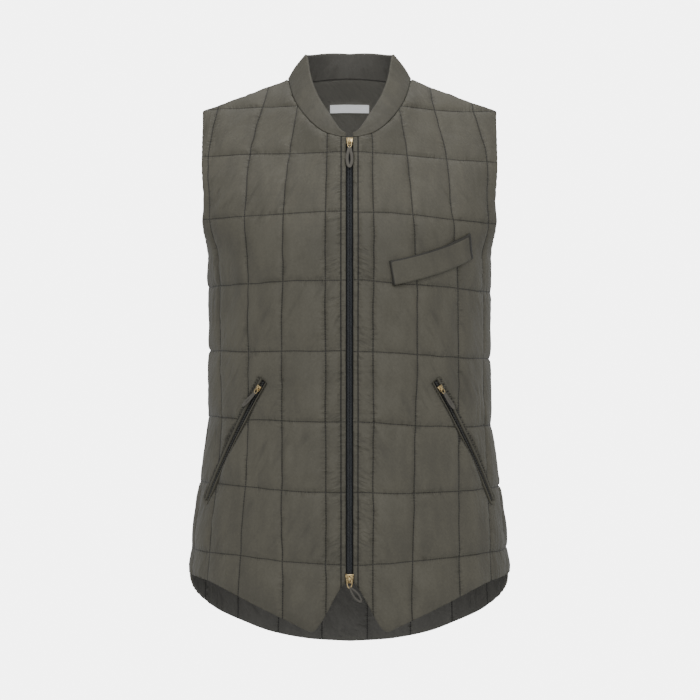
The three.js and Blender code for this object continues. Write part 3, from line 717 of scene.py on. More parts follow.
class Paint:
    """A material being built round one Principled shader."""

    def __init__(self, name: str) -> None:
        """Start an empty node material."""
        self.material = bpy.data.materials.new(name)
        self.material.use_nodes = True
        self.tree = self.material.node_tree
        self.tree.nodes.clear()
        self.shader = self.node("ShaderNodeBsdfPrincipled")
        output = self.node("ShaderNodeOutputMaterial")
        self.tree.links.new(self.shader.outputs["BSDF"], output.inputs["Surface"])

    def node(self, kind: str, settings: dict | None = None, inputs: dict | None = None) -> bpy.types.Node:
        """Add one node.

        Args:
            kind: The node's type.
            settings: Properties to set on it.
            inputs: Socket names or numbers with Values, sockets or constants.

        Returns:
            The node.
        """
        made = self.tree.nodes.new(kind)
        for key, setting in (settings or {}).items():
            setattr(made, key, setting)
        for key, given in (inputs or {}).items():
            socket = made.inputs[key]
            if isinstance(given, Value):
                self.tree.links.new(given.socket, socket)
            elif isinstance(given, Socket):
                self.tree.links.new(given, socket)
            else:
                socket.default_value = given
        return made

    def value(self, socket: Socket) -> Value:
        """Wrap a socket."""
        return Value(self.tree, socket)

    def attribute(self, name: str) -> Value:
        """A point attribute of the piece."""
        return self.value(self.node("ShaderNodeAttribute", {"attribute_name": name}).outputs["Fac"])

    def pattern(self) -> tuple[Value, Value]:
        """The piece's pattern coordinates in metres, across and up."""
        uv = self.node("ShaderNodeUVMap", {"uv_map": "pattern"})
        parts = self.node("ShaderNodeSeparateXYZ", inputs={0: uv.outputs["UV"]})
        return self.value(parts.outputs["X"]), self.value(parts.outputs["Y"])

    def noise(self, scale: float, detail: float = 2.0) -> Value:
        """Noise from 0 to 1 at a scale per metre, over object coordinates."""
        place = self.node("ShaderNodeTexCoord").outputs["Object"]
        made = self.node(
            "ShaderNodeTexNoise", inputs={"Vector": place, "Scale": scale, "Detail": detail, "Roughness": 0.55}
        )
        return self.value(made.outputs["Fac"])

    def stretched_noise(self, x: Value, y: Value, cell_x: float, cell_y: float, detail: float) -> Value:
        """Noise from 0 to 1 over two lengths in metres, with its own cell size for each.

        Args:
            x: First length.
            y: Second length.
            cell_x: Millimetres of the first to a cell.
            cell_y: Millimetres of the second to a cell.
            detail: Octaves.

        Returns:
            The noise.
        """
        at = self.node("ShaderNodeCombineXYZ", inputs={"X": x * (1 / (cell_x * MM)), "Y": y * (1 / (cell_y * MM))})
        made = self.node(
            "ShaderNodeTexNoise",
            {"noise_dimensions": "2D"},
            {"Vector": at.outputs["Vector"], "Scale": 1.0, "Detail": detail, "Roughness": 0.5},
        )
        return self.value(made.outputs["Fac"])

    def blend(self, amount: Value, first: Tint, second: Tint) -> Socket:
        """Colour from first to second by an amount.

        Args:
            amount: 0 for the first colour, 1 for the second.
            first: First colour or its socket.
            second: Second colour or its socket.

        Returns:
            The mixed colour's socket.
        """
        made = self.node("ShaderNodeMix", {"data_type": "RGBA"}, {0: amount})
        for index, colour in ((6, first), (7, second)):
            if isinstance(colour, Socket):
                self.tree.links.new(colour, made.inputs[index])
            else:
                made.inputs[index].default_value = (*colour, 1)
        return made.outputs[2]

    def bump(self, height: Value, distance: float, strength: float = 1.0) -> None:
        """Raise the surface by a height in parts of a distance in metres."""
        made = self.node("ShaderNodeBump", inputs={"Height": height, "Distance": distance, "Strength": strength})
        self.feed("Normal", made.outputs["Normal"])

    def set(self, **constants: float) -> None:
        """Set constants on the shader's own sockets, by name with underscores for spaces."""
        for key, constant in constants.items():
            self.shader.inputs[key.replace("_", " ")].default_value = constant

    def feed(self, name: str, given: Value | Socket) -> None:
        """Feed one of the shader's own sockets."""
        self.tree.links.new(given.socket if isinstance(given, Value) else given, self.shader.inputs[name])


@dataclass(frozen=True)
class NylonFinish:
    """Fine plain-woven nylon, with or without quilting stitches."""

    name: str
    colour: tuple[float, float, float]
    thread: tuple[float, float, float] = (0.016, 0.015, 0.013)
    roughness: float = 0.56
    stitched: bool = False
    facing: bool = False
    sheen: float = 0.05

    def build(self) -> Material:
        """Make the material."""
        paint = Paint(self.name)
        across, up = paint.pattern()
        weave = across.wave(YARN) * up.wave(YARN)
        cloudy = paint.noise(11, 3)
        streaks = paint.stretched_noise(across, up, 16, 60, 2)
        mottle = cloudy * 0.45 + streaks * 0.3 + paint.noise(330, 2) * 0.25
        tint = paint.blend(mottle.ramp(0.34, 0.66), tinted(self.colour, 0.87), tinted(self.colour, 1.15))
        height = weave * 0.016 + paint.noise(420, 3) * 0.1
        slant = across * 0.8 + up * 0.6
        level = up * 0.8 - across * 0.6
        if not self.stitched:
            height = height + paint.stretched_noise(slant, level, 13, 24, 1) * 0.9
        else:
            height = height + paint.stretched_noise(slant, level, 9, 38, 2) * 1.2
            height, tint = self.quilting(paint, across, up, height, tint)
        if self.facing:
            # Dark line along the back lining's facing seam, and painted edge shade along the welt's top and ends.
            seam_and_edge_shade = 1 - paint.attribute("seam_and_edge_shade_line").ramp(0.2, 0.9)
            # Painted light: the lining's facing above the seam is made 1.8 times lighter, for light that the
            # enclosed neck lacks.
            painted_facing_light = up.ramp(0.554, 0.556) * float(self.stitched)
            tint = paint.blend(painted_facing_light, tint, tinted(self.colour, 1.8))
            tint = paint.blend(seam_and_edge_shade * 0.8, tint, self.thread)
        paint.feed("Base Color", tint)
        paint.feed("Roughness", cloudy * 0.12 + (self.roughness - 0.06))
        paint.bump(height, MM)
        paint.set(Sheen_Weight=self.sheen, Sheen_Roughness=0.45, Specular_IOR_Level=0.36)
        return paint.material

    def quilting(self, paint: Paint, across: Value, up: Value, height: Value, tint: Socket) -> tuple[Value, Socket]:
        """Add stitches, their valleys and the puckers that the thread draws up, with painted shade in the valleys,
        puckers and creases.

        Args:
            paint: The material.
            across: Pattern coordinate across, in metres.
            up: Pattern coordinate up, in metres.
            height: The cloth's relief so far, in millimetres.
            tint: The cloth's colour so far.

        Returns:
            The relief, and the colour with the thread and the painted shade.
        """
        line_across = paint.attribute("line_across")
        line_up = paint.attribute("line_up")
        pull = paint.noise(45, 1).ramp(0.3, 0.7)
        beside = paint.stretched_noise(across, up, 15, 4.6, 2)
        above = paint.stretched_noise(across, up, 4.6, 15, 2)
        reach = pull * 7 + 5
        gathered_across = 1 - (line_across / reach).ramp(0.0, 1.0)
        gathered_up = 1 - (line_up / reach).ramp(0.0, 1.0)
        patches = paint.noise(30, 1).ramp(0.42, 0.64)
        placket = across.math("ABSOLUTE")
        taut = 1 - placket.ramp(34 * MM, 42 * MM)
        strong = patches.peak(taut * 0.8)
        gathered_across = gathered_across * (strong * 0.85 + 0.15)
        gathered_up = gathered_up * (patches * 0.6 + 0.4)
        height = height + (beside - 0.5) * gathered_across * 2.2 + (above - 0.5) * gathered_up * 2.6
        taut = (1 - placket.ramp(24 * MM, 32 * MM)) * paint.noise(32, 1).ramp(0.48, 0.6)
        slack = paint.noise(15, 1).ramp(0.5, 0.66) * 0.6
        at_side = placket.ramp(150 * MM, 190 * MM) * paint.noise(20, 1).ramp(0.42, 0.62) * 0.8
        slanting = paint.stretched_noise(across - up * 0.2, up + across * 0.45, 34, 7, 2) - 0.5
        steep = paint.stretched_noise(up, across + up * 0.45, 40, 11, 1) - 0.5
        upright = paint.stretched_noise(across + up * 0.06, up, 6, 45, 2) - 0.5
        creases = slanting * taut + steep * slack + upright * at_side
        if self.facing:
            creases = creases * (1 - up.ramp(0.548, 0.553))
        height = height + creases * 2.8
        dash_up = up.wave(STITCH).ramp(-1.0, -0.3)
        dash_across = across.wave(STITCH).ramp(-1.0, -0.3)
        thread = ((1 - line_across.ramp(0.35, 1.05)) * dash_up).peak(
            (1 - line_up.ramp(0.25, 0.75)) * dash_across * 0.88
        )
        beside_zip = (1 - placket.ramp(12 * MM, 14 * MM)) * (1 - line_across.ramp(0.5, 1.0))
        thread = thread.peak(beside_zip)
        valley = (1 - line_across.ramp(0.2, 1.3)).peak((1 - line_up.ramp(0.2, 1.2)) * 0.85)
        near = (1 - line_across.ramp(0.5, 6.0)).peak(1 - line_up.ramp(0.5, 6.0))
        # Painted shade: where the puckers dip, the colour darkens.
        pucker_shade = ((beside - 0.5) * gathered_across + (above - 0.5) * gathered_up).ramp(0.02, -0.25)
        shade = tinted(self.colour, 0.5)
        # Painted shade near the seams, in the pucker hollows and in the crease hollows.
        tint = paint.blend(near * 0.06 + pucker_shade * 0.4 + creases.ramp(0.03, -0.2) * 0.35, tint, shade)
        # Painted shade in the stitch valleys, of randomly varying strength.
        tint = paint.blend(valley * (pull * 0.3 + 0.4), tint, shade)
        tint = paint.blend(thread * 0.86, tint, self.thread)
        return height - valley * 0.5, tint


@dataclass(frozen=True)
class CoilFinish:
    """Black moulded zip coil or woven tape."""

    name: str
    colour: tuple[float, float, float]
    roughness: float
    rib: float = 0.0

    def build(self) -> Material:
        """Make the material."""
        paint = Paint(self.name)
        height = paint.noise(1800, 2) * 0.1
        # Colour from random tone, and on ribbed covers also a painted highlight on each rib crest.
        shade = paint.noise(500, 2).ramp(0.3, 0.75)
        if self.rib:
            ribs = paint.pattern()[1].wave(self.rib) * 0.5 + 0.5
            height = height + ribs * 0.22
            shade = shade * 0.5 + ribs * 0.5
        paint.feed("Base Color", paint.blend(shade, self.colour, tinted(self.colour, 1.6)))
        paint.feed("Roughness", paint.noise(300) * 0.15 + (self.roughness - 0.07))
        paint.bump(height, MM, 0.7)
        paint.set(Specular_IOR_Level=0.5)
        return paint.material


@dataclass(frozen=True)
class GoldFinish:
    """Polished pale gold plate, darker in small random patches."""

    name: str = "gold_plate"

    def build(self) -> Material:
        """Make the material."""
        paint = Paint(self.name)
        dark_patches = paint.noise(500, 3)
        paint.feed("Base Color", paint.blend(dark_patches.ramp(0.4, 0.7), (0.72, 0.56, 0.3), (0.22, 0.15, 0.06)))
        paint.feed("Roughness", paint.noise(900, 2) * 0.16 + 0.14)
        paint.bump(paint.noise(1400, 2), 0.03 * MM, 0.4)
        paint.set(Metallic=1.0)
        return paint.material


@dataclass(frozen=True)
class SatinLabelFinish:
    """White woven satin, blank, with a faint painted glow that keeps it light in the shaded neck."""

    name: str = "label_satin"

    def build(self) -> Material:
        """Make the material."""
        paint = Paint(self.name)
        across, up = paint.pattern()
        white = paint.blend(paint.noise(200, 2), (0.86, 0.88, 0.9), (0.92, 0.93, 0.94))
        paint.feed("Base Color", white)
        # Painted light: the label glows faintly, though it is no lamp.
        paint.feed("Emission Color", white)
        paint.set(Emission_Strength=0.4, Sheen_Weight=0.2)
        paint.feed("Roughness", paint.noise(80) * 0.1 + 0.4)
        paint.bump(up.wave(0.6 * MM) * 0.5 + across.wave(1.1 * MM) * 0.2, 0.06 * MM, 0.6)
        return paint.material


@dataclass(frozen=True)
class BackdropFinish:
    """Even pale grey studio ground."""

    name: str = "studio_ground"
    level: float = 5.6

    def build(self) -> Material:
        """Make the material."""
        paint = Paint(self.name)
        even = paint.blend(paint.noise(0.6, 1), (1.0, 1.0, 1.0), (0.995, 0.995, 0.995))
        paint.set(Base_Color=(0, 0, 0, 1), Roughness=1.0, Specular_IOR_Level=0.0, Emission_Strength=self.level)
        paint.feed("Emission Color", even)
        return paint.material


CLOTH = (0.103, 0.095, 0.0705)
# The inside cloth has a more neutral tone of its own, and is set lighter than the outer cloth as painted light
# against the shade inside the vest.
INSIDE_CLOTH = (0.124, 0.118, 0.103)


@dataclass(frozen=True)
class WeltShape:
    """The chest welt's outline on the pattern: a curved strip that leans."""

    inner: Spot = Spot(54, 346)
    outer: Spot = Spot(171, 384)
    height: float = 31.0
    sag: float = 3.5
    lean: float = 0.17
    far_lean: float = 0.22

    def place(self, along: Array, rise: Array) -> tuple[Array, Array]:
        """Pattern places on the strip.

        Args:
            along: Share of the way from the inner end to the outer one.
            rise: Millimetres above the foot.

        Returns:
            Millimetres from the centre line, and up the cloth.
        """
        rise = rise - self.sag * 4 * along * (1 - along)
        across = self.inner.across + (self.outer.across - self.inner.across) * along
        lean = self.lean + self.far_lean * np.clip(along, 0, 1) ** 2
        return across - rise * lean, self.inner.up + (self.outer.up - self.inner.up) * along + rise

    def clearance(self, across: Array, up: Array) -> Array:
        """Millimetres outside the strip.

        Args:
            across: Millimetres from the centre line.
            up: Millimetres up the cloth.

        Returns:
            Nought on the strip, growing away from it.
        """
        along, rise = np.zeros(len(across)), np.full(len(across), self.height / 2)
        for _ in range(6):
            placed = self.place(along, rise)
            along = along + (across - placed[0]) / (self.outer.across - self.inner.across)
            rise = rise + (up - placed[1]) * 0.8
        far = np.maximum.reduce([-along * WELT_LENGTH, (along - 1) * WELT_LENGTH, -rise, rise - self.height])
        return np.clip(far, 0, 60)


@dataclass
class QuiltedPanel:
    """One quilted body panel with its stitches, puckers and padding."""

    name: str
    half: Half
    side: int
    column_seams: Array
    spacing: float
    finish: Material
    inside: Material
    drift: Sequence[Drift] = ()
    facing: float = NO_FACING
    puff: float = 3.8
    seed: int = 3

    def row_seams(self) -> Array:
        """Heights of the quilt rows; none crosses the tails."""
        return np.array([-2, *range(9)]) * ROW

    def stray(self, across: Array, up: Array) -> tuple[Array, Array]:
        """How far the quilting has moved from its even grid at pattern places.

        Args:
            across: Millimetres from the centre line.
            up: Millimetres up the cloth.

        Returns:
            Moves across and up.
        """
        wander = LatticeNoise(self.seed + 20)
        aside = wander(up / 17, across / 60) * 0.7 + wander(up / 60, across / 90 + 7) * 1.2
        above = wander(across / 17 + 20, up / 60 + 20) * 0.6 + wander(across / 70 + 9, up / 90 + 30) * 1.2
        if self.drift:
            ups = [row.up for row in self.drift]
            moves = np.zeros((6, len(across)))
            for index, column in enumerate(("second", "third", "fourth"), start=2):
                moves[index] = np.interp(up, ups, [getattr(row, column) for row in self.drift])
            moves[5] = moves[4] * 0.3
            places = [0.0, *self.column_seams[2:6], 290.0]
            slot = np.clip(np.searchsorted(places, across) - 1, 0, 4)
            low = np.take(places, slot)
            part = np.clip((across - low) / (np.take(places, slot + 1) - low), 0, 1)
            pick = np.arange(len(across))
            aside = aside * smooth(across / 40) + moves[slot, pick] * (1 - part) + moves[slot + 1, pick] * part
            above = above + np.interp(up, ups, [row.rise for row in self.drift]) * smooth(across / 190)
        return aside, above

    def settle(self, across: Array, up: Array) -> tuple[Array, Array, Array]:
        """Move even grid points to where the quilting has strayed, then in to the outline.

        Args:
            across: Millimetres from the centre line.
            up: Millimetres up the cloth.

        Returns:
            The moved points, and which of them lay outside the outline.
        """
        even_across, even_up = across, up
        for _ in range(5):
            aside, above = self.stray(across, up)
            across, up = even_across + aside, even_up + above
        clipped = Pattern(self.half).clip(across, up)
        outside = np.hypot(clipped[0] - across, clipped[1] - up) > 1e-6
        return *clipped, outside

    def crowns(self, evenly: tuple[Array, Array]) -> Array:
        """Share of the full padding at places on the even grid."""
        return np.sqrt(crown(self.column_seams, evenly[0]) * crown(self.row_seams(), evenly[1]))

    def fade(self, across: Array, up: Array, edge: Array) -> Array:
        """Share of the padding left near the cut edges, the armhole and the neck corner.

        Args:
            across: Millimetres from the centre line.
            up: Millimetres up the cloth.
            edge: Millimetres from the nearest cut edge.

        Returns:
            From 0 at the edges to 1.
        """
        armhole = distance_to(Pattern(self.half).armhole(), np.abs(across), up)
        neck = self.half.value.neck
        from_neck = np.hypot(np.abs(across) - neck.across, up - neck.up)
        sunk = np.sqrt(np.clip(edge / EDGE_FADE, 0, 1)) * np.clip(armhole / ARMHOLE_FADE + 0.1, 0, 1) ** 0.6
        return sunk * (0.25 + 0.75 * smooth(from_neck / CORNER_FADE))

    def padding(self, across: Array, up: Array, evenly: tuple[Array, Array]) -> Array:
        """Height of the padded cloth, before it sinks at the cut edges.

        Args:
            across: Millimetres from the centre line.
            up: Millimetres up the cloth.
            evenly: The same places on the quilting's even grid.

        Returns:
            Millimetres out from the stitches.
        """
        columns, rows = self.column_seams, self.row_seams()
        column = np.searchsorted(columns, evenly[0], side="right")
        row = np.searchsorted(rows, evenly[1], side="right")
        plump = np.random.RandomState(self.seed).uniform(0.8, 1.12, (len(rows) + 2, len(columns) + 2))
        puff = self.puff * self.crowns(evenly) * plump[row, column]
        beside, above = gap_to(columns, evenly[0]), gap_to(rows, evenly[1])
        ripple = LatticeNoise(self.seed + 11)
        soft = LatticeNoise(self.seed + 12)
        held = 1 - np.exp(-np.minimum(beside, above) / 1.4)
        gathers = ripple(up / 6.5 + column * 7.3, column * 1.0 + 0.5) * np.exp(-beside / 8)
        gathers = gathers + 0.8 * ripple(across / 7.0 + row * 5.1, row * 1.0 + 30.5) * np.exp(-above / 7)
        slant = across * 0.55 + up * 0.3
        wrinkles = soft(slant / 10, (up - across * 0.4) / 34) * 0.8
        wrinkles = wrinkles + soft(across / 24 + 9, up / 30 + 5) * 0.9
        return puff + held * (gathers * 1.1 + wrinkles)

    def build(self) -> Piece:
        """Cut, thicken, place on the worn form and dress the panel."""
        sheet = GridSheet(*self.grid_lines(), self.settle)
        across, up, inner = sheet.points()
        aside, above = self.stray(across, up)
        evenly = (across - aside, up - above)
        edge = distance_to(Pattern(self.half).edges(), np.abs(across), up)
        fade = self.fade(across, up, edge)
        rounded = EDGE_ROLL * (1 - smooth(edge / ROLL_REACH))
        outer = self.padding(across, up, evenly) * fade - rounded
        plain = smooth((up - self.facing) / 4)
        lining = -WALL - 0.35 * self.crowns(evenly) * fade * (1 - plain) + rounded
        beside_line = gap_to(self.column_seams[1:-1], evenly[0])
        if self.half is Half.FRONT:
            slot = HipPocket.slot_depth(np.abs(across), up)
            outer = outer * (1 - slot) - POCKET_DEPTH * slot
            # The pocket's stitch lines go in with the quilt lines at half their distance: the shader draws thread on
            # them and paints a wider band of valley shade beside them.
            beside_line = np.minimum(beside_line, HipPocket.stitch_gap(np.abs(across), up) * 0.5)
            if self.side > 0:
                outer = outer * (0.75 + 0.25 * smooth(WeltShape().clearance(across, up) / 8))
        points = FORM.place(self.half, across * self.side, up, np.where(inner, lining, outer))
        hidden = np.where(inner, plain, 0) * NO_LINE
        values = {
            "line_across": beside_line + hidden,
            "line_up": gap_to(self.row_seams(), evenly[1]) + hidden,
            "seam_and_edge_shade_line": np.where(inner & (self.facing < NO_FACING), np.abs(up - self.facing), NO_LINE),
        }
        made = sheet.finish(self.name, points, values)
        return hand_over(made, "quilted_cloth", self.finish, self.inside, node=self.name.replace("quilted_", ""))

    def grid_lines(self) -> tuple[Array, Array]:
        """Column and row lines of the even grid, through every quilt seam."""
        seams = self.column_seams[1:-1]
        rows = [*self.row_seams()[1:-1], 704]
        if self.half is Half.FRONT:
            columns = [FRONT_EDGE - 4, FRONT_EDGE, *seams, 310.0]
            return lines_through(columns, self.spacing), lines_through([-110, *rows], 3.1)
        return lines_through([-300.0, *seams, 300.0], self.spacing), lines_through([-150, *rows], 3.15)


@dataclass(frozen=True)
class CollarStation:
    """The band collar's rise at a share of the way from the zip to the centre back."""

    share: float
    inward: float
    up: float
    thick: float
    aim: float


COLLAR = tuple(CollarStation(*row) for row in (
    (0, 1.5, 4.5, 2.4, -85), (0.05, 6, 10, 2.6, -80), (0.1, 12, 16, 2.8, -70), (0.18, 19, 20, 3.2, -50),
    (0.32, 21, 25, 3.4, -25), (0.48, 23, 29.4, 3.4, -15), (0.62, 25, 32.8, 3.4, -10),
    (0.7, 21.5, 34.6, 3.4, -10), (0.8, 17, 35.0, 3.4, -10), (1, 10, 31.9, 3.4, -10),
))


@dataclass
class BandCollar:
    """The plain band collar round the neck seam."""

    finish: Material
    inside: Material
    name: str = "band_collar"
    gap: float = 0.5
    bulge: float = 1.0
    sections: int = 128
    round_points: int = 40
    probe: float = 0.015

    def seam(self, out: float) -> Array:
        """Points of the neck seam at one depth of the wall, from the zip to the centre back."""
        front = Pattern(Half.FRONT).neckline()[:0:-1]
        back = Pattern(Half.BACK).neckline()
        return np.concatenate([
            FORM.place(half, line[:, 0], line[:, 1], out) / MM
            for half, line in ((Half.FRONT, front), (Half.BACK, back))
        ])

    def build(self) -> Piece:
        """Wrap a fine grid round the collar's sections."""
        low, high = self.seam(-WALL), self.seam(0.0)
        walked = np.concatenate([[0], np.cumsum(np.linalg.norm(np.diff(high, axis=0), axis=1))])

        def seam_at(line: Array, share: Array) -> Array:
            """Points at a share of the way along the seam."""
            return np.stack([np.interp(share, walked / walked[-1], line[:, axis]) for axis in range(3)], axis=-1)

        bm = bmesh.new()
        bmesh.ops.create_grid(bm, x_segments=self.round_points, y_segments=self.sections, size=0.5)
        flat = np.array([vert.co[:2] for vert in bm.verts]) + 0.5
        side = np.where(flat[:, 1] > 0.5, -1.0, 1.0)
        at = 1 - np.abs(flat[:, 1] * 2 - 1)
        foot_low, foot_high = seam_at(low, at), seam_at(high, at)
        along = seam_at(high, np.minimum(at + self.probe, 1)) - seam_at(high, np.maximum(at - self.probe, 0))
        along[:, 1:] *= (1 - smooth((at - 0.97) / 0.03))[:, None]
        along = unit(along)
        aim = read_table(COLLAR, "aim", at, "share")
        inward = np.stack([-foot_high[:, 0], aim - foot_high[:, 1], np.zeros(len(at))], axis=-1)
        rise = unit(inward) * read_table(COLLAR, "inward", at, "share")[:, None]
        rise[:, 2] = read_table(COLLAR, "up", at, "share")
        wall = unit(foot_high - foot_low)
        face = unit(np.cross(along, rise))
        face *= np.where((face * wall).sum(axis=1) < 0, -1, 1)[:, None]
        half = read_table(COLLAR, "thick", at, "share") / 2
        part, out = self.section_place(flat[:, 0], half, np.linalg.norm(rise, axis=1))
        turn = unit(wall * (1 - smooth(part * 3))[:, None] + face * smooth(part * 3)[:, None])
        base = (foot_low + foot_high) / 2 + unit(rise) * self.gap
        soft = LatticeNoise(41)
        sway = soft(at * 22, part * 2.2) * 0.5 * np.sin(np.pi * np.clip(part, 0, 1))
        points = base + rise * part[:, None] + turn * (out + sway)[:, None]
        points[:, 0] *= side
        for vert, point in zip(bm.verts, points * MM):
            vert.co = point
        bm.verts.index_update()
        layer = bm.loops.layers.uv.new("pattern")
        uv = np.stack([flat[:, 1] * 2 * walked[-1] * MM, part * 40 * MM], axis=-1)
        for mesh_face in bm.faces:
            mesh_face.material_index = int(np.mean([flat[vert.index, 0] for vert in mesh_face.verts]) < 0.44)
            for loop in mesh_face.loops:
                loop[layer].uv = uv[loop.vert.index]
        bmesh.ops.remove_doubles(bm, verts=bm.verts, dist=0.00002)
        bmesh.ops.holes_fill(bm, edges=[edge for edge in bm.edges if edge.is_boundary])
        return hand_over(from_bmesh(self.name, bm), "plain_cloth", self.finish, self.inside, node="collar")

    def section_place(self, around: Array, half: Array, rise: Array) -> tuple[Array, Array]:
        """Rise share and outward place of a section point.

        Args:
            around: 0 to 1 from the inner foot, over the upper edge, to the outer foot and back.
            half: Half the wall's thickness.
            rise: The collar's rise at the point.

        Returns:
            Share of the rise and millimetres out from the middle.
        """
        wall, crest_end, foot = 0.42, 0.56, 0.98
        outer = np.clip((foot - around) / wall, 0, 1)
        part = np.where(around < wall, around / wall, np.where(around > crest_end, outer, 1.0))
        swing = np.pi * np.clip((around - wall) / (crest_end - wall), 0, 1)
        out = np.where(around < wall, -half, np.where(around > crest_end, half, -np.cos(swing) * half))
        lift = np.sin(swing) * half * 0.8 / np.maximum(rise, 1)
        bulge = self.bulge * np.sin(np.pi * np.clip(part, 0, 1)) * np.clip(rise / 30, 0, 1)
        out = np.where(around > crest_end, out + bulge, out)
        out = np.where(around >= 0.999, -half, out)
        return part * 0.97 + lift, out


def arched(share: Array) -> Array:
    """Half circle over a strip: 0 at its edges, 1 in the middle."""
    return np.sqrt(np.clip(1 - (2 * share - 1) ** 2, 0, 1))


@dataclass(frozen=True)
class Tooth:
    """Sizes of one coil tooth, in millimetres."""

    pitch: float
    width: float
    height: float
    thick: float
    aside: float
    out: float


def bead_teeth(
    name: str, place: Callable[[Array, Array, Array], Array], span: tuple[float, float], tooth: Tooth
) -> Piece:
    """Set rounded teeth alternately left and right along a zip.

    Args:
        name: The piece's name.
        place: Worn points from millimetres across, along and out.
        span: Where the row starts and ends along the zip.
        tooth: The teeth's sizes.

    Returns:
        The row of teeth.
    """
    bm = bmesh.new()
    count = int((span[1] - span[0]) / tooth.pitch)
    for index in range(count):
        side = 1 if index % 2 else -1
        made = bmesh.ops.create_cube(bm, size=1.0)["verts"]
        edges = list({edge for vert in made for edge in vert.link_edges})
        points = np.array([vert.co[:] for vert in made])
        along = span[0] + (index + 0.5) * tooth.pitch + points[:, 2] * tooth.height
        across = points[:, 0] * tooth.width + side * tooth.aside
        for vert, spot in zip(made, place(across, along, tooth.out + points[:, 1] * tooth.thick)):
            vert.co = spot
        offset = 0.22 * tooth.thick * MM
        bmesh.ops.bevel(bm, geom=edges, offset=offset, segments=1, profile=0.5, affect="EDGES", material=-1)
    return from_bmesh(name, bm)


@dataclass(frozen=True)
class HipPocket:
    """The slanted zipped hip pocket of one side."""

    side: int
    name: str
    lip: Material
    coil: Material
    tape: Material

    stitched_at = 6.9
    top = Spot(112, 227)
    foot = Spot(214, 73)
    width = 12.6

    @classmethod
    def length(cls) -> float:
        """Length of the opening."""
        return math.hypot(cls.foot.across - cls.top.across, cls.foot.up - cls.top.up)

    @classmethod
    def run(cls) -> Array:
        """Direction of the opening on the pattern."""
        return np.array([cls.foot.across - cls.top.across, cls.foot.up - cls.top.up]) / cls.length()

    @classmethod
    def beside(cls, along: Array, beside: Array) -> tuple[Array, Array]:
        """Pattern place at millimetres along and beside the opening."""
        run = cls.run()
        return cls.top.across + run[0] * along - run[1] * beside, cls.top.up + run[1] * along + run[0] * beside

    @classmethod
    def gaps(cls, across: Array, up: Array, spare: float) -> tuple[Array, Array]:
        """Millimetres beside the opening's centre line, and past its ends less a spare length."""
        run = cls.run()
        along = (across - cls.top.across) * run[0] + (up - cls.top.up) * run[1]
        beside = -(across - cls.top.across) * run[1] + (up - cls.top.up) * run[0]
        return np.abs(beside), np.maximum(np.maximum(-spare - along, along - cls.length() - spare), 0)

    @classmethod
    def stitch_gap(cls, across: Array, up: Array) -> Array:
        """Millimetres to the stitches on both sides of the opening."""
        beside, past = cls.gaps(across, up, 1)
        return np.hypot(beside - cls.stitched_at, past)

    @classmethod
    def slot_depth(cls, across: Array, up: Array) -> Array:
        """1 inside the opening, easing to 0 just outside it."""
        beside, past = cls.gaps(across, up, 0)
        return 1 - smooth(np.hypot(np.maximum(beside - 4.5, 0), past) / 4.0)

    def strip(
        self, name: str, span: tuple[float, float], crest: Callable[[Array], Array], past: float
    ) -> Piece:
        """One long strip of the pocket with a rounded section.

        Args:
            name: The piece's name.
            span: Its inner and outer edge beside the opening's centre line.
            crest: Height out from the cloth at a share across the strip.
            past: How far it runs past the opening's ends.

        Returns:
            The strip.
        """
        rows = lines_through([-past, 0, self.length(), self.length() + past], 3.0)
        sheet = GridSheet(np.linspace(*span, 9), rows)
        aside, along, inner = sheet.points()
        share = (aside - span[0]) / (span[1] - span[0])
        soft = LatticeNoise(51 + self.side)
        out = np.where(inner, -0.9, crest(share) + soft(along / 7, share * 2) * 0.12)
        sway = soft(along / 25, np.full(len(along), 9.5)) * 0.35
        across, up = self.beside(along, aside + sway)
        return sheet.finish(name, FORM.place(Half.FRONT, across * self.side, up, out), {})

    def build(self) -> None:
        """Two lips and the toothed chain between them."""
        outer = self.width / 2 - 0.5

        def lip_top(share: Array) -> Array:
            """Rounded lip."""
            return 2.3 * arched(share) - 0.3

        def chain_top(share: Array) -> Array:
            """Nearly flat tape."""
            return -0.1 - 0.4 * np.abs(2 * share - 1) ** 4

        def place(across: Array, along: Array, out: Array) -> Array:
            """Worn points beside the opening's centre line."""
            spot = self.beside(along, across - 0.8)
            return FORM.place(Half.FRONT, spot[0] * self.side, spot[1], out)

        front = self.strip(f"{self.name}_lip_front", (-outer, -3.7), lip_top, 2.4)
        back = self.strip(f"{self.name}_lip_back", (2.3, outer), lip_top, 2.4)
        tape = self.strip(f"{self.name}_tape", (-4.6, 3.6), chain_top, 0.0)
        teeth = bead_teeth(f"{self.name}_teeth", place, (0, self.length()), Tooth(1.7, 2.3, 1.05, 1.2, 0.45, 0.4))
        hand_over(front, "plain_cloth", self.lip, self.lip, node=f"{self.name}_lips")
        hand_over(back, "plain_cloth", self.lip, self.lip)
        hand_over(tape, "zip_tape", self.tape, self.tape, node=f"{self.name}_zip")
        hand_over(teeth, "zip_chain", self.coil)


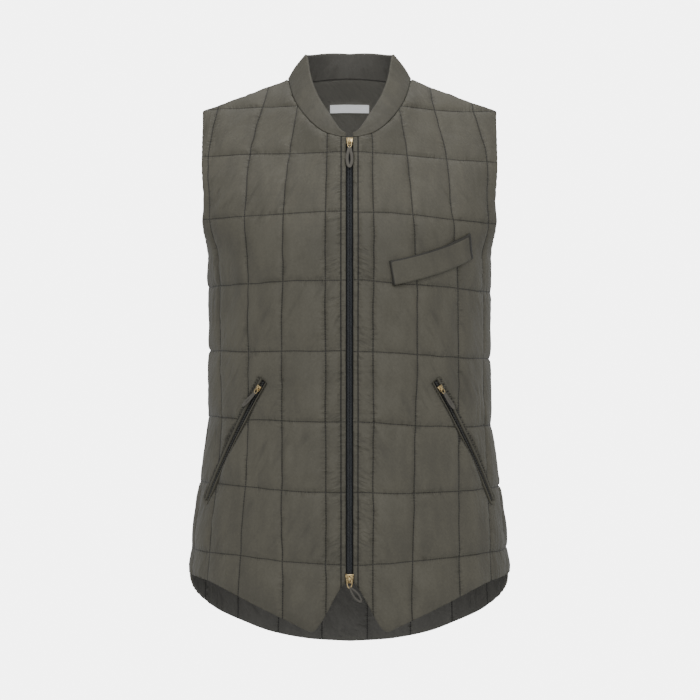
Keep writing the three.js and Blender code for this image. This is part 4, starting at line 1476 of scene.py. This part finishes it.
@dataclass
class ChestWelt:
    """The curved plain welt on the wearer's left chest."""

    finish: Material
    name: str = "chest_welt_cloth"
    shape: WeltShape = WeltShape()
    gap: float = 1.4
    thick: float = 1.9

    def build(self) -> Piece:
        """Lay a padded strip over the quilting."""
        height = self.shape.height
        sheet = GridSheet(np.linspace(0, 100, 61), np.linspace(0, height, 19))
        percent, rise, inner = sheet.points()
        along = percent / 100
        start, end = along * WELT_LENGTH, (1 - along) * WELT_LENGTH
        edge = np.minimum.reduce([start, end, rise, height - rise])
        top = PUFF + self.gap + self.thick * np.sqrt(np.clip(edge / 1.8 + 0.3, 0, 1))
        top = top + LatticeNoise(61)(along * 9, rise / 11) * 0.35 * np.clip(edge / 5, 0, 1)
        points = FORM.place(Half.FRONT, *self.shape.place(along, rise), np.where(inner, 0.6, top))
        # Painted edge shade: a dark line along the welt's top and ends, wider at the outer end, whose wall faces
        # away.
        outline = np.minimum.reduce([start, end * 0.4, height - rise])
        made = sheet.finish(self.name, points, {"seam_and_edge_shade_line": np.clip(outline - 1.4, 0, NO_LINE)})
        return hand_over(made, "plain_cloth", self.finish, self.finish, node="chest_welt")


@dataclass
class FrontZip:
    """The closed front zip: teeth under two rounded coil covers, between its tapes."""

    coil: Material
    cover: Material
    tape: Material

    def build(self) -> None:
        """Teeth, covers and tapes."""
        tooth = Tooth(1.9, 2.6, 1.2, 1.4, 0.35, -1.95)
        teeth = bead_teeth("front_zip_teeth", partial(FORM.place, Half.FRONT), (ZIP_FOOT, ZIP_HEAD), tooth)
        hand_over(teeth, "zip_chain", self.coil, node="zip_chain")
        for side, name in ((1, "left"), (-1, "right")):
            cover = self.strip(f"zip_cover_{name}", side, (0.55, 2.9), -2.3, 1.15)
            hand_over(cover, "zip_chain", self.cover, self.cover)
            tape = self.strip(f"zip_tape_cloth_{name}", side, (0.35, 18.0), -2.85, 0.0)
            hand_over(tape, "zip_tape", self.tape, self.tape, node=f"zip_tape_{name}")

    def strip(self, name: str, side: int, span: tuple[float, float], out: float, crest: float) -> Piece:
        """One strip down the zip, with a rounded crest.

        Args:
            name: The piece's name.
            side: 1 for the wearer's left.
            span: Its inner and outer edge from the centre line.
            out: Height of its edges.
            crest: How far its middle stands out.

        Returns:
            The strip.
        """
        sheet = GridSheet(np.linspace(*span, 7), lines_through([ZIP_FOOT, ZIP_HEAD], 4.0))
        across, up, inner = sheet.points()
        top = out + crest * arched((across - span[0]) / (span[1] - span[0]))
        return sheet.finish(name, FORM.place(Half.FRONT, across * side, up, np.where(inner, out - 0.7, top)), {})


@dataclass
class ZipSlider:
    """A zip slider with its arch, wire link and looped cloth pull."""

    name: str
    foot: Spot
    aim: Spot
    out: float
    gold: Material
    cloth: Material
    scale: float = 1.0
    lean: float = 0.0
    loop_length: float = 25.0
    loop_half: float = 2.9
    strand: float = 1.6
    thick: float = 2.3
    hinge_out: float = 3.4
    link_length: float = 9.0

    def frame(self) -> Matrix:
        """Local frame on the cloth: x across the zip, y up it, z out, in millimetres."""
        here, above, outward = (
            FORM.place(Half.FRONT, spot.across, spot.up, out)[0]
            for spot, out in ((self.foot, self.out), (self.aim, self.out), (self.foot, self.out + 1))
        )
        up = Vector(above - here).normalized()
        away = Vector(outward - here).normalized()
        across = up.cross(away).normalized()
        turn = Matrix((across, up, across.cross(up))).transposed().to_4x4()
        return Matrix.Translation(Vector(here)) @ turn @ Matrix.Scale(self.scale * MM, 4)

    @staticmethod
    def plate(bm: Mesh, head: float, foot: float, low: float, high: float, span: tuple[float, float]) -> None:
        """Add a bevelled plate that narrows towards its foot.

        Args:
            bm: The mesh to add to.
            head: Width at the upper end.
            foot: Width at the lower end.
            low: Lower end.
            high: Upper end.
            span: Its two depths.
        """
        made = bmesh.ops.create_cube(bm, size=1.0)["verts"]
        for vert in made:
            width = head if vert.co.y > 0 else foot
            depth = span[1] if vert.co.z > 0 else span[0]
            vert.co = (vert.co.x * width, high if vert.co.y > 0 else low, depth)
        edges = list({edge for vert in made for edge in vert.link_edges})
        offset = 0.3 * (span[1] - span[0])
        bmesh.ops.bevel(bm, geom=edges, offset=offset, segments=2, profile=0.5, affect="EDGES", material=-1)

    def body(self) -> Piece:
        """Two plates joined by a neck, and the arch over them."""
        bm = bmesh.new()
        self.plate(bm, 8.8, 6.4, -4.2, 5.2, (-0.1, 0.8))
        self.plate(bm, 2.4, 2.0, 0.5, 4.6, (0.7, 1.6))
        self.plate(bm, 8.8, 6.4, -4.2, 5.2, (1.4, self.thick))
        self.plate(bm, 7.6, 7.0, 3.4, 5.0, (1.2, self.thick + 0.5))
        before = set(bm.verts)
        bmesh.ops.create_grid(bm, x_segments=1, y_segments=1, size=1.0)
        face_verts = [vert for vert in bm.verts if vert not in before]
        for vert in face_verts:
            vert.co = Vector((vert.co.x * 1.05, 0, self.hinge_out + 1.1 + vert.co.y * 0.45))
        turn = math.radians(78)
        centre = Vector((0, 0, self.thick - 1.0))
        bmesh.ops.rotate(bm, verts=face_verts, cent=centre, matrix=Matrix.Rotation(-turn, 3, "X"))
        faces = [face for face in bm.faces if all(vert in face_verts for vert in face.verts)]
        edges = list({edge for face in faces for edge in face.edges})
        arch = [*face_verts, *edges, *faces]
        bmesh.ops.spin(bm, geom=arch, cent=centre, axis=(1, 0, 0), angle=2 * turn, steps=14)
        return self.settle("slider_body", bm, self.gold, "vest", "slider", "slider_metal")

    def ring(self, section: tuple[float, float], steps: int) -> Mesh:
        """A closed ring in the x-y plane with an oval section."""
        bm = bmesh.new()
        made = bmesh.ops.create_circle(bm, segments=12, radius=1.0)["verts"]
        for vert in made:
            vert.co = Vector((RING_RADIUS + vert.co.x * section[0], 0, vert.co.y * section[1]))
        around = {"cent": (0, 0, 0), "axis": (0, 0, 1), "angle": 2 * math.pi}
        bmesh.ops.spin(bm, geom=[*bm.verts, *bm.edges], steps=steps, use_merge=True, **around)
        return bm

    def bend(self, bm: Mesh, half: Callable[[float], float], top: float, length: float, turn: float) -> None:
        """Bend a ring along a drop-shaped loop.

        Args:
            bm: The ring.
            half: The loop's half width at a share of its length.
            top: Where the loop starts.
            length: How long it is.
            turn: Degrees that it swings to the wearer's left.
        """

        def spot(angle: float) -> Vector:
            """Place on the loop's middle line."""
            share = (1 - math.cos(angle)) / 2
            return Vector((half(share) * math.sin(angle), top - length * share, 0))

        swing = Matrix.Rotation(math.radians(turn), 4, "Z")
        pivot = Vector((0, top, 0))
        for vert in bm.verts:
            angle = math.atan2(vert.co.x, vert.co.y)
            reach = math.hypot(vert.co.x, vert.co.y) - RING_RADIUS
            here = spot(angle)
            along = (spot(angle + 0.02) - spot(angle - 0.02)).normalized()
            outward = Vector((-along.y, along.x, 0))
            if outward.dot(here - Vector((0, top - length / 2, 0))) < 0:
                outward.negate()
            place = here + outward * reach + Vector((0, 0, vert.co.z + self.hinge_out))
            vert.co = pivot + swing @ (place - pivot)

    def link(self) -> Piece:
        """The wire link through the arch."""
        bm = self.ring((0.75, 0.75), 28)
        self.bend(bm, lambda share: 2.6 - 0.2 * share, 0.2, self.link_length, 0)
        return self.settle("wire_link", bm, self.gold, f"{self.name}_pull_body", "link", "slider_metal")

    def strap(self) -> Piece:
        """The cloth loop, folded round the link's foot."""

        def widen(share: float) -> float:
            """The loop's half width."""
            return self.loop_half * float(smooth(0.35 + share * 0.9))

        bm = self.ring((self.strand, 0.75), 44)
        self.bend(bm, widen, 1.2 - self.link_length, self.loop_length, self.lean)
        return self.settle("cloth_loop", bm, self.cloth, f"{self.name}_pull_body", "pull", "pull_cloth")

    def settle(self, name: str, bm: Mesh, finish: Material, body: str, node: str, slot: str) -> Piece:
        """Place a local mesh on the cloth and hand it to its body.

        Args:
            name: The piece's name, after the slider's.
            bm: Its mesh in the local frame.
            finish: Its material.
            body: The body it rides on.
            node: The solid it replaces, after the slider's name.
            slot: A slot name, passed on to hand_over.

        Returns:
            The piece.
        """
        bmesh.ops.transform(bm, matrix=self.frame(), verts=bm.verts)
        made = from_bmesh(f"{self.name}_{name}", bm)
        return hand_over(made, slot, finish, node=f"{self.name}_{node}", body=body)

    def build(self) -> None:
        """Body, link and cloth pull."""
        self.body()
        self.link()
        self.strap()


def hip_slider(name: str, side: int, lean: float, gold: Material, cloth: Material) -> ZipSlider:
    """The smaller slider at the top of a hip pocket."""
    here, above = (
        Spot(across * side, up) for across, up in (HipPocket.beside(11.5, 0.0), HipPocket.beside(0.0, 0.0))
    )
    return ZipSlider(
        f"hip_{name}", here, above, 1.5, gold, cloth,
        scale=0.8, lean=lean, loop_length=31, loop_half=2.0, strand=1.9,
    )


def dress(node: str, material: Material) -> None:
    """Put one material on every slot of a solid that keeps its shape."""
    for place in bpy.data.objects[node].material_slots:
        place.material = material


@dataclass
class Studio:
    """Pale ground, soft lights and the level camera."""

    eye_height: float = -SHOULDER_HEIGHT * MM
    distance: float = 2.4
    front_plane: float = -0.15
    scale: float = 1.24 * MM

    def build(self) -> None:
        """Set the stage."""
        self.ground()
        for name, place, size, power in (
            ("key", (0.2, -1.6, 1.5), 1.1, 11),
            ("front", (0, -2.6, 0.1), 1.0, 9),
            ("fill", (-1.5, -1.9, 0.1), 1.5, 4),
            ("fill_right", (1.7, -1.6, 0.0), 1.4, 3),
            ("top", (0, 0.2, 1.5), 1.3, 9),
        ):
            self.light(name, place, size, power)
        self.camera()
        world = bpy.data.worlds.new("studio_air")
        world.use_nodes = True
        air = world.node_tree.nodes["Background"].inputs
        air["Color"].default_value = (0.95, 0.97, 1, 1)
        air["Strength"].default_value = 0.58
        bpy.context.scene.world = world

    def ground(self) -> None:
        """A floor that curves up into a wall far behind the vest."""
        bm = bmesh.new()
        bmesh.ops.create_grid(bm, x_segments=2, y_segments=40, size=0.5)
        width, depth, near, wall, floor, radius = 18.0, 16, -6.0, 4.0, -1.6, 2.0
        for vert in bm.verts:
            run = (vert.co.y + 0.5) * depth
            flat = wall - radius - near
            turn = min(max((run - flat) / radius, 0), math.pi / 2)
            rest = max(run - flat - radius * math.pi / 2, 0)
            y = near + min(run, flat) + radius * math.sin(turn)
            z = floor + radius * (1 - math.cos(turn)) + rest
            vert.co = (vert.co.x * width, y, z)
        ground = from_bmesh("studio_ground", bm)
        ground.data.materials.append(BackdropFinish().build())
        ground.visible_diffuse = False
        ground.visible_glossy = False
        ground.visible_shadow = False

    def light(self, name: str, place: Sequence[float], size: float, power: float) -> None:
        """One square soft light aimed at the vest."""
        data = bpy.data.lights.new(name, "AREA")
        data.size = size
        data.energy = power
        lamp = bpy.data.objects.new(name, data)
        lamp.location = place
        aim = Vector((0, 0, self.eye_height)) - Vector(place)
        lamp.rotation_euler = aim.to_track_quat("-Z", "Y").to_euler()
        bpy.context.scene.collection.objects.link(lamp)

    def camera(self) -> None:
        """A long lens, level with the middle of the vest."""
        data = bpy.data.cameras.new("camera")
        sensor, picture = 36.0, 700
        data.sensor_width = sensor
        data.lens = self.distance / self.scale * sensor / picture
        camera = bpy.data.objects.new("camera", data)
        camera.location = (0.0006, self.front_plane - self.distance, self.eye_height)
        camera.rotation_euler = (math.pi / 2, 0, 0)
        bpy.context.scene.collection.objects.link(camera)
        bpy.context.scene.camera = camera


def front_seams() -> Array:
    """Quilt columns of a front, from the centre out."""
    return np.array([-8, EDGE_STITCH, *(FIRST_COLUMN + COLUMN * np.arange(6))])


def back_seams() -> Array:
    """Quilt columns of the back, which sit a little off its centre."""
    half = BACK_FIRST_COLUMN + BACK_COLUMN * np.arange(6)
    return np.array([*(-half[::-1]), *half]) + BACK_SHIFT


def main() -> None:
    """Build the vest, dress it and set the studio."""
    logging.basicConfig(level=logging.INFO, format="%(name)s %(message)s")
    quilted = NylonFinish("quilted_nylon", CLOTH, stitched=True).build()
    lining = NylonFinish("lining_nylon", INSIDE_CLOTH, stitched=True, facing=True, roughness=0.66).build()
    plain = NylonFinish("plain_nylon", tinted(CLOTH, 0.88)).build()
    edged = NylonFinish("welt_nylon", tinted(CLOTH, 0.96), facing=True).build()
    inside = NylonFinish("inside_nylon", INSIDE_CLOTH, roughness=0.66).build()
    coil = CoilFinish("zip_coil", (0.02, 0.022, 0.025), 0.36).build()
    cover = CoilFinish("zip_coil_cover", (0.03, 0.032, 0.035), 0.34, rib=1.9 * MM).build()
    pocket_coil = CoilFinish("pocket_coil", (0.04, 0.039, 0.035), 0.45).build()
    gold = GoldFinish().build()
    # The zip tape is black cloth, set near pure black so that the gaps beside the coils show as painted shadow.
    tape = CoilFinish("zip_tape_weave", (0.004, 0.004, 0.004), 0.8).build()
    pull = NylonFinish("pull_strap", (0.105, 0.096, 0.08)).build()
    for name, side, drift in (("left", 1, LEFT_DRIFT), ("right", -1, RIGHT_DRIFT)):
        panel = QuiltedPanel(
            f"quilted_front_{name}", Half.FRONT, side, front_seams(), 2.8, quilted, lining,
            drift=drift, seed=5 + side,
        ).build()
        HipPocket(side, f"hip_{name}", plain, pocket_coil, tape).build()
        hip_slider(name, side, 4 if side > 0 else -15, gold, pull).build()
    back = QuiltedPanel("quilted_back", Half.BACK, 1, back_seams(), 3.1, quilted, lining, facing=555, seed=9).build()
    collar = BandCollar(plain, inside).build()
    welt = ChestWelt(edged).build()
    FrontZip(coil, cover, tape).build()
    ZipSlider(
        "top", Spot(0, 543.5), Spot(0, 548), -0.5, gold, pull, loop_length=27, loop_half=3.2, strand=2.0
    ).build()
    ZipSlider(
        "bottom", Spot(0, -16), Spot(0, -10), -0.5, gold, pull,
        scale=1.2, lean=38, loop_half=2.7, strand=1.1, loop_length=19, thick=1.9, hinge_out=2.83,
    ).build()
    dress("neck_label", SatinLabelFinish().build())
    Studio().build()


if __name__ == "__main__":
    main()
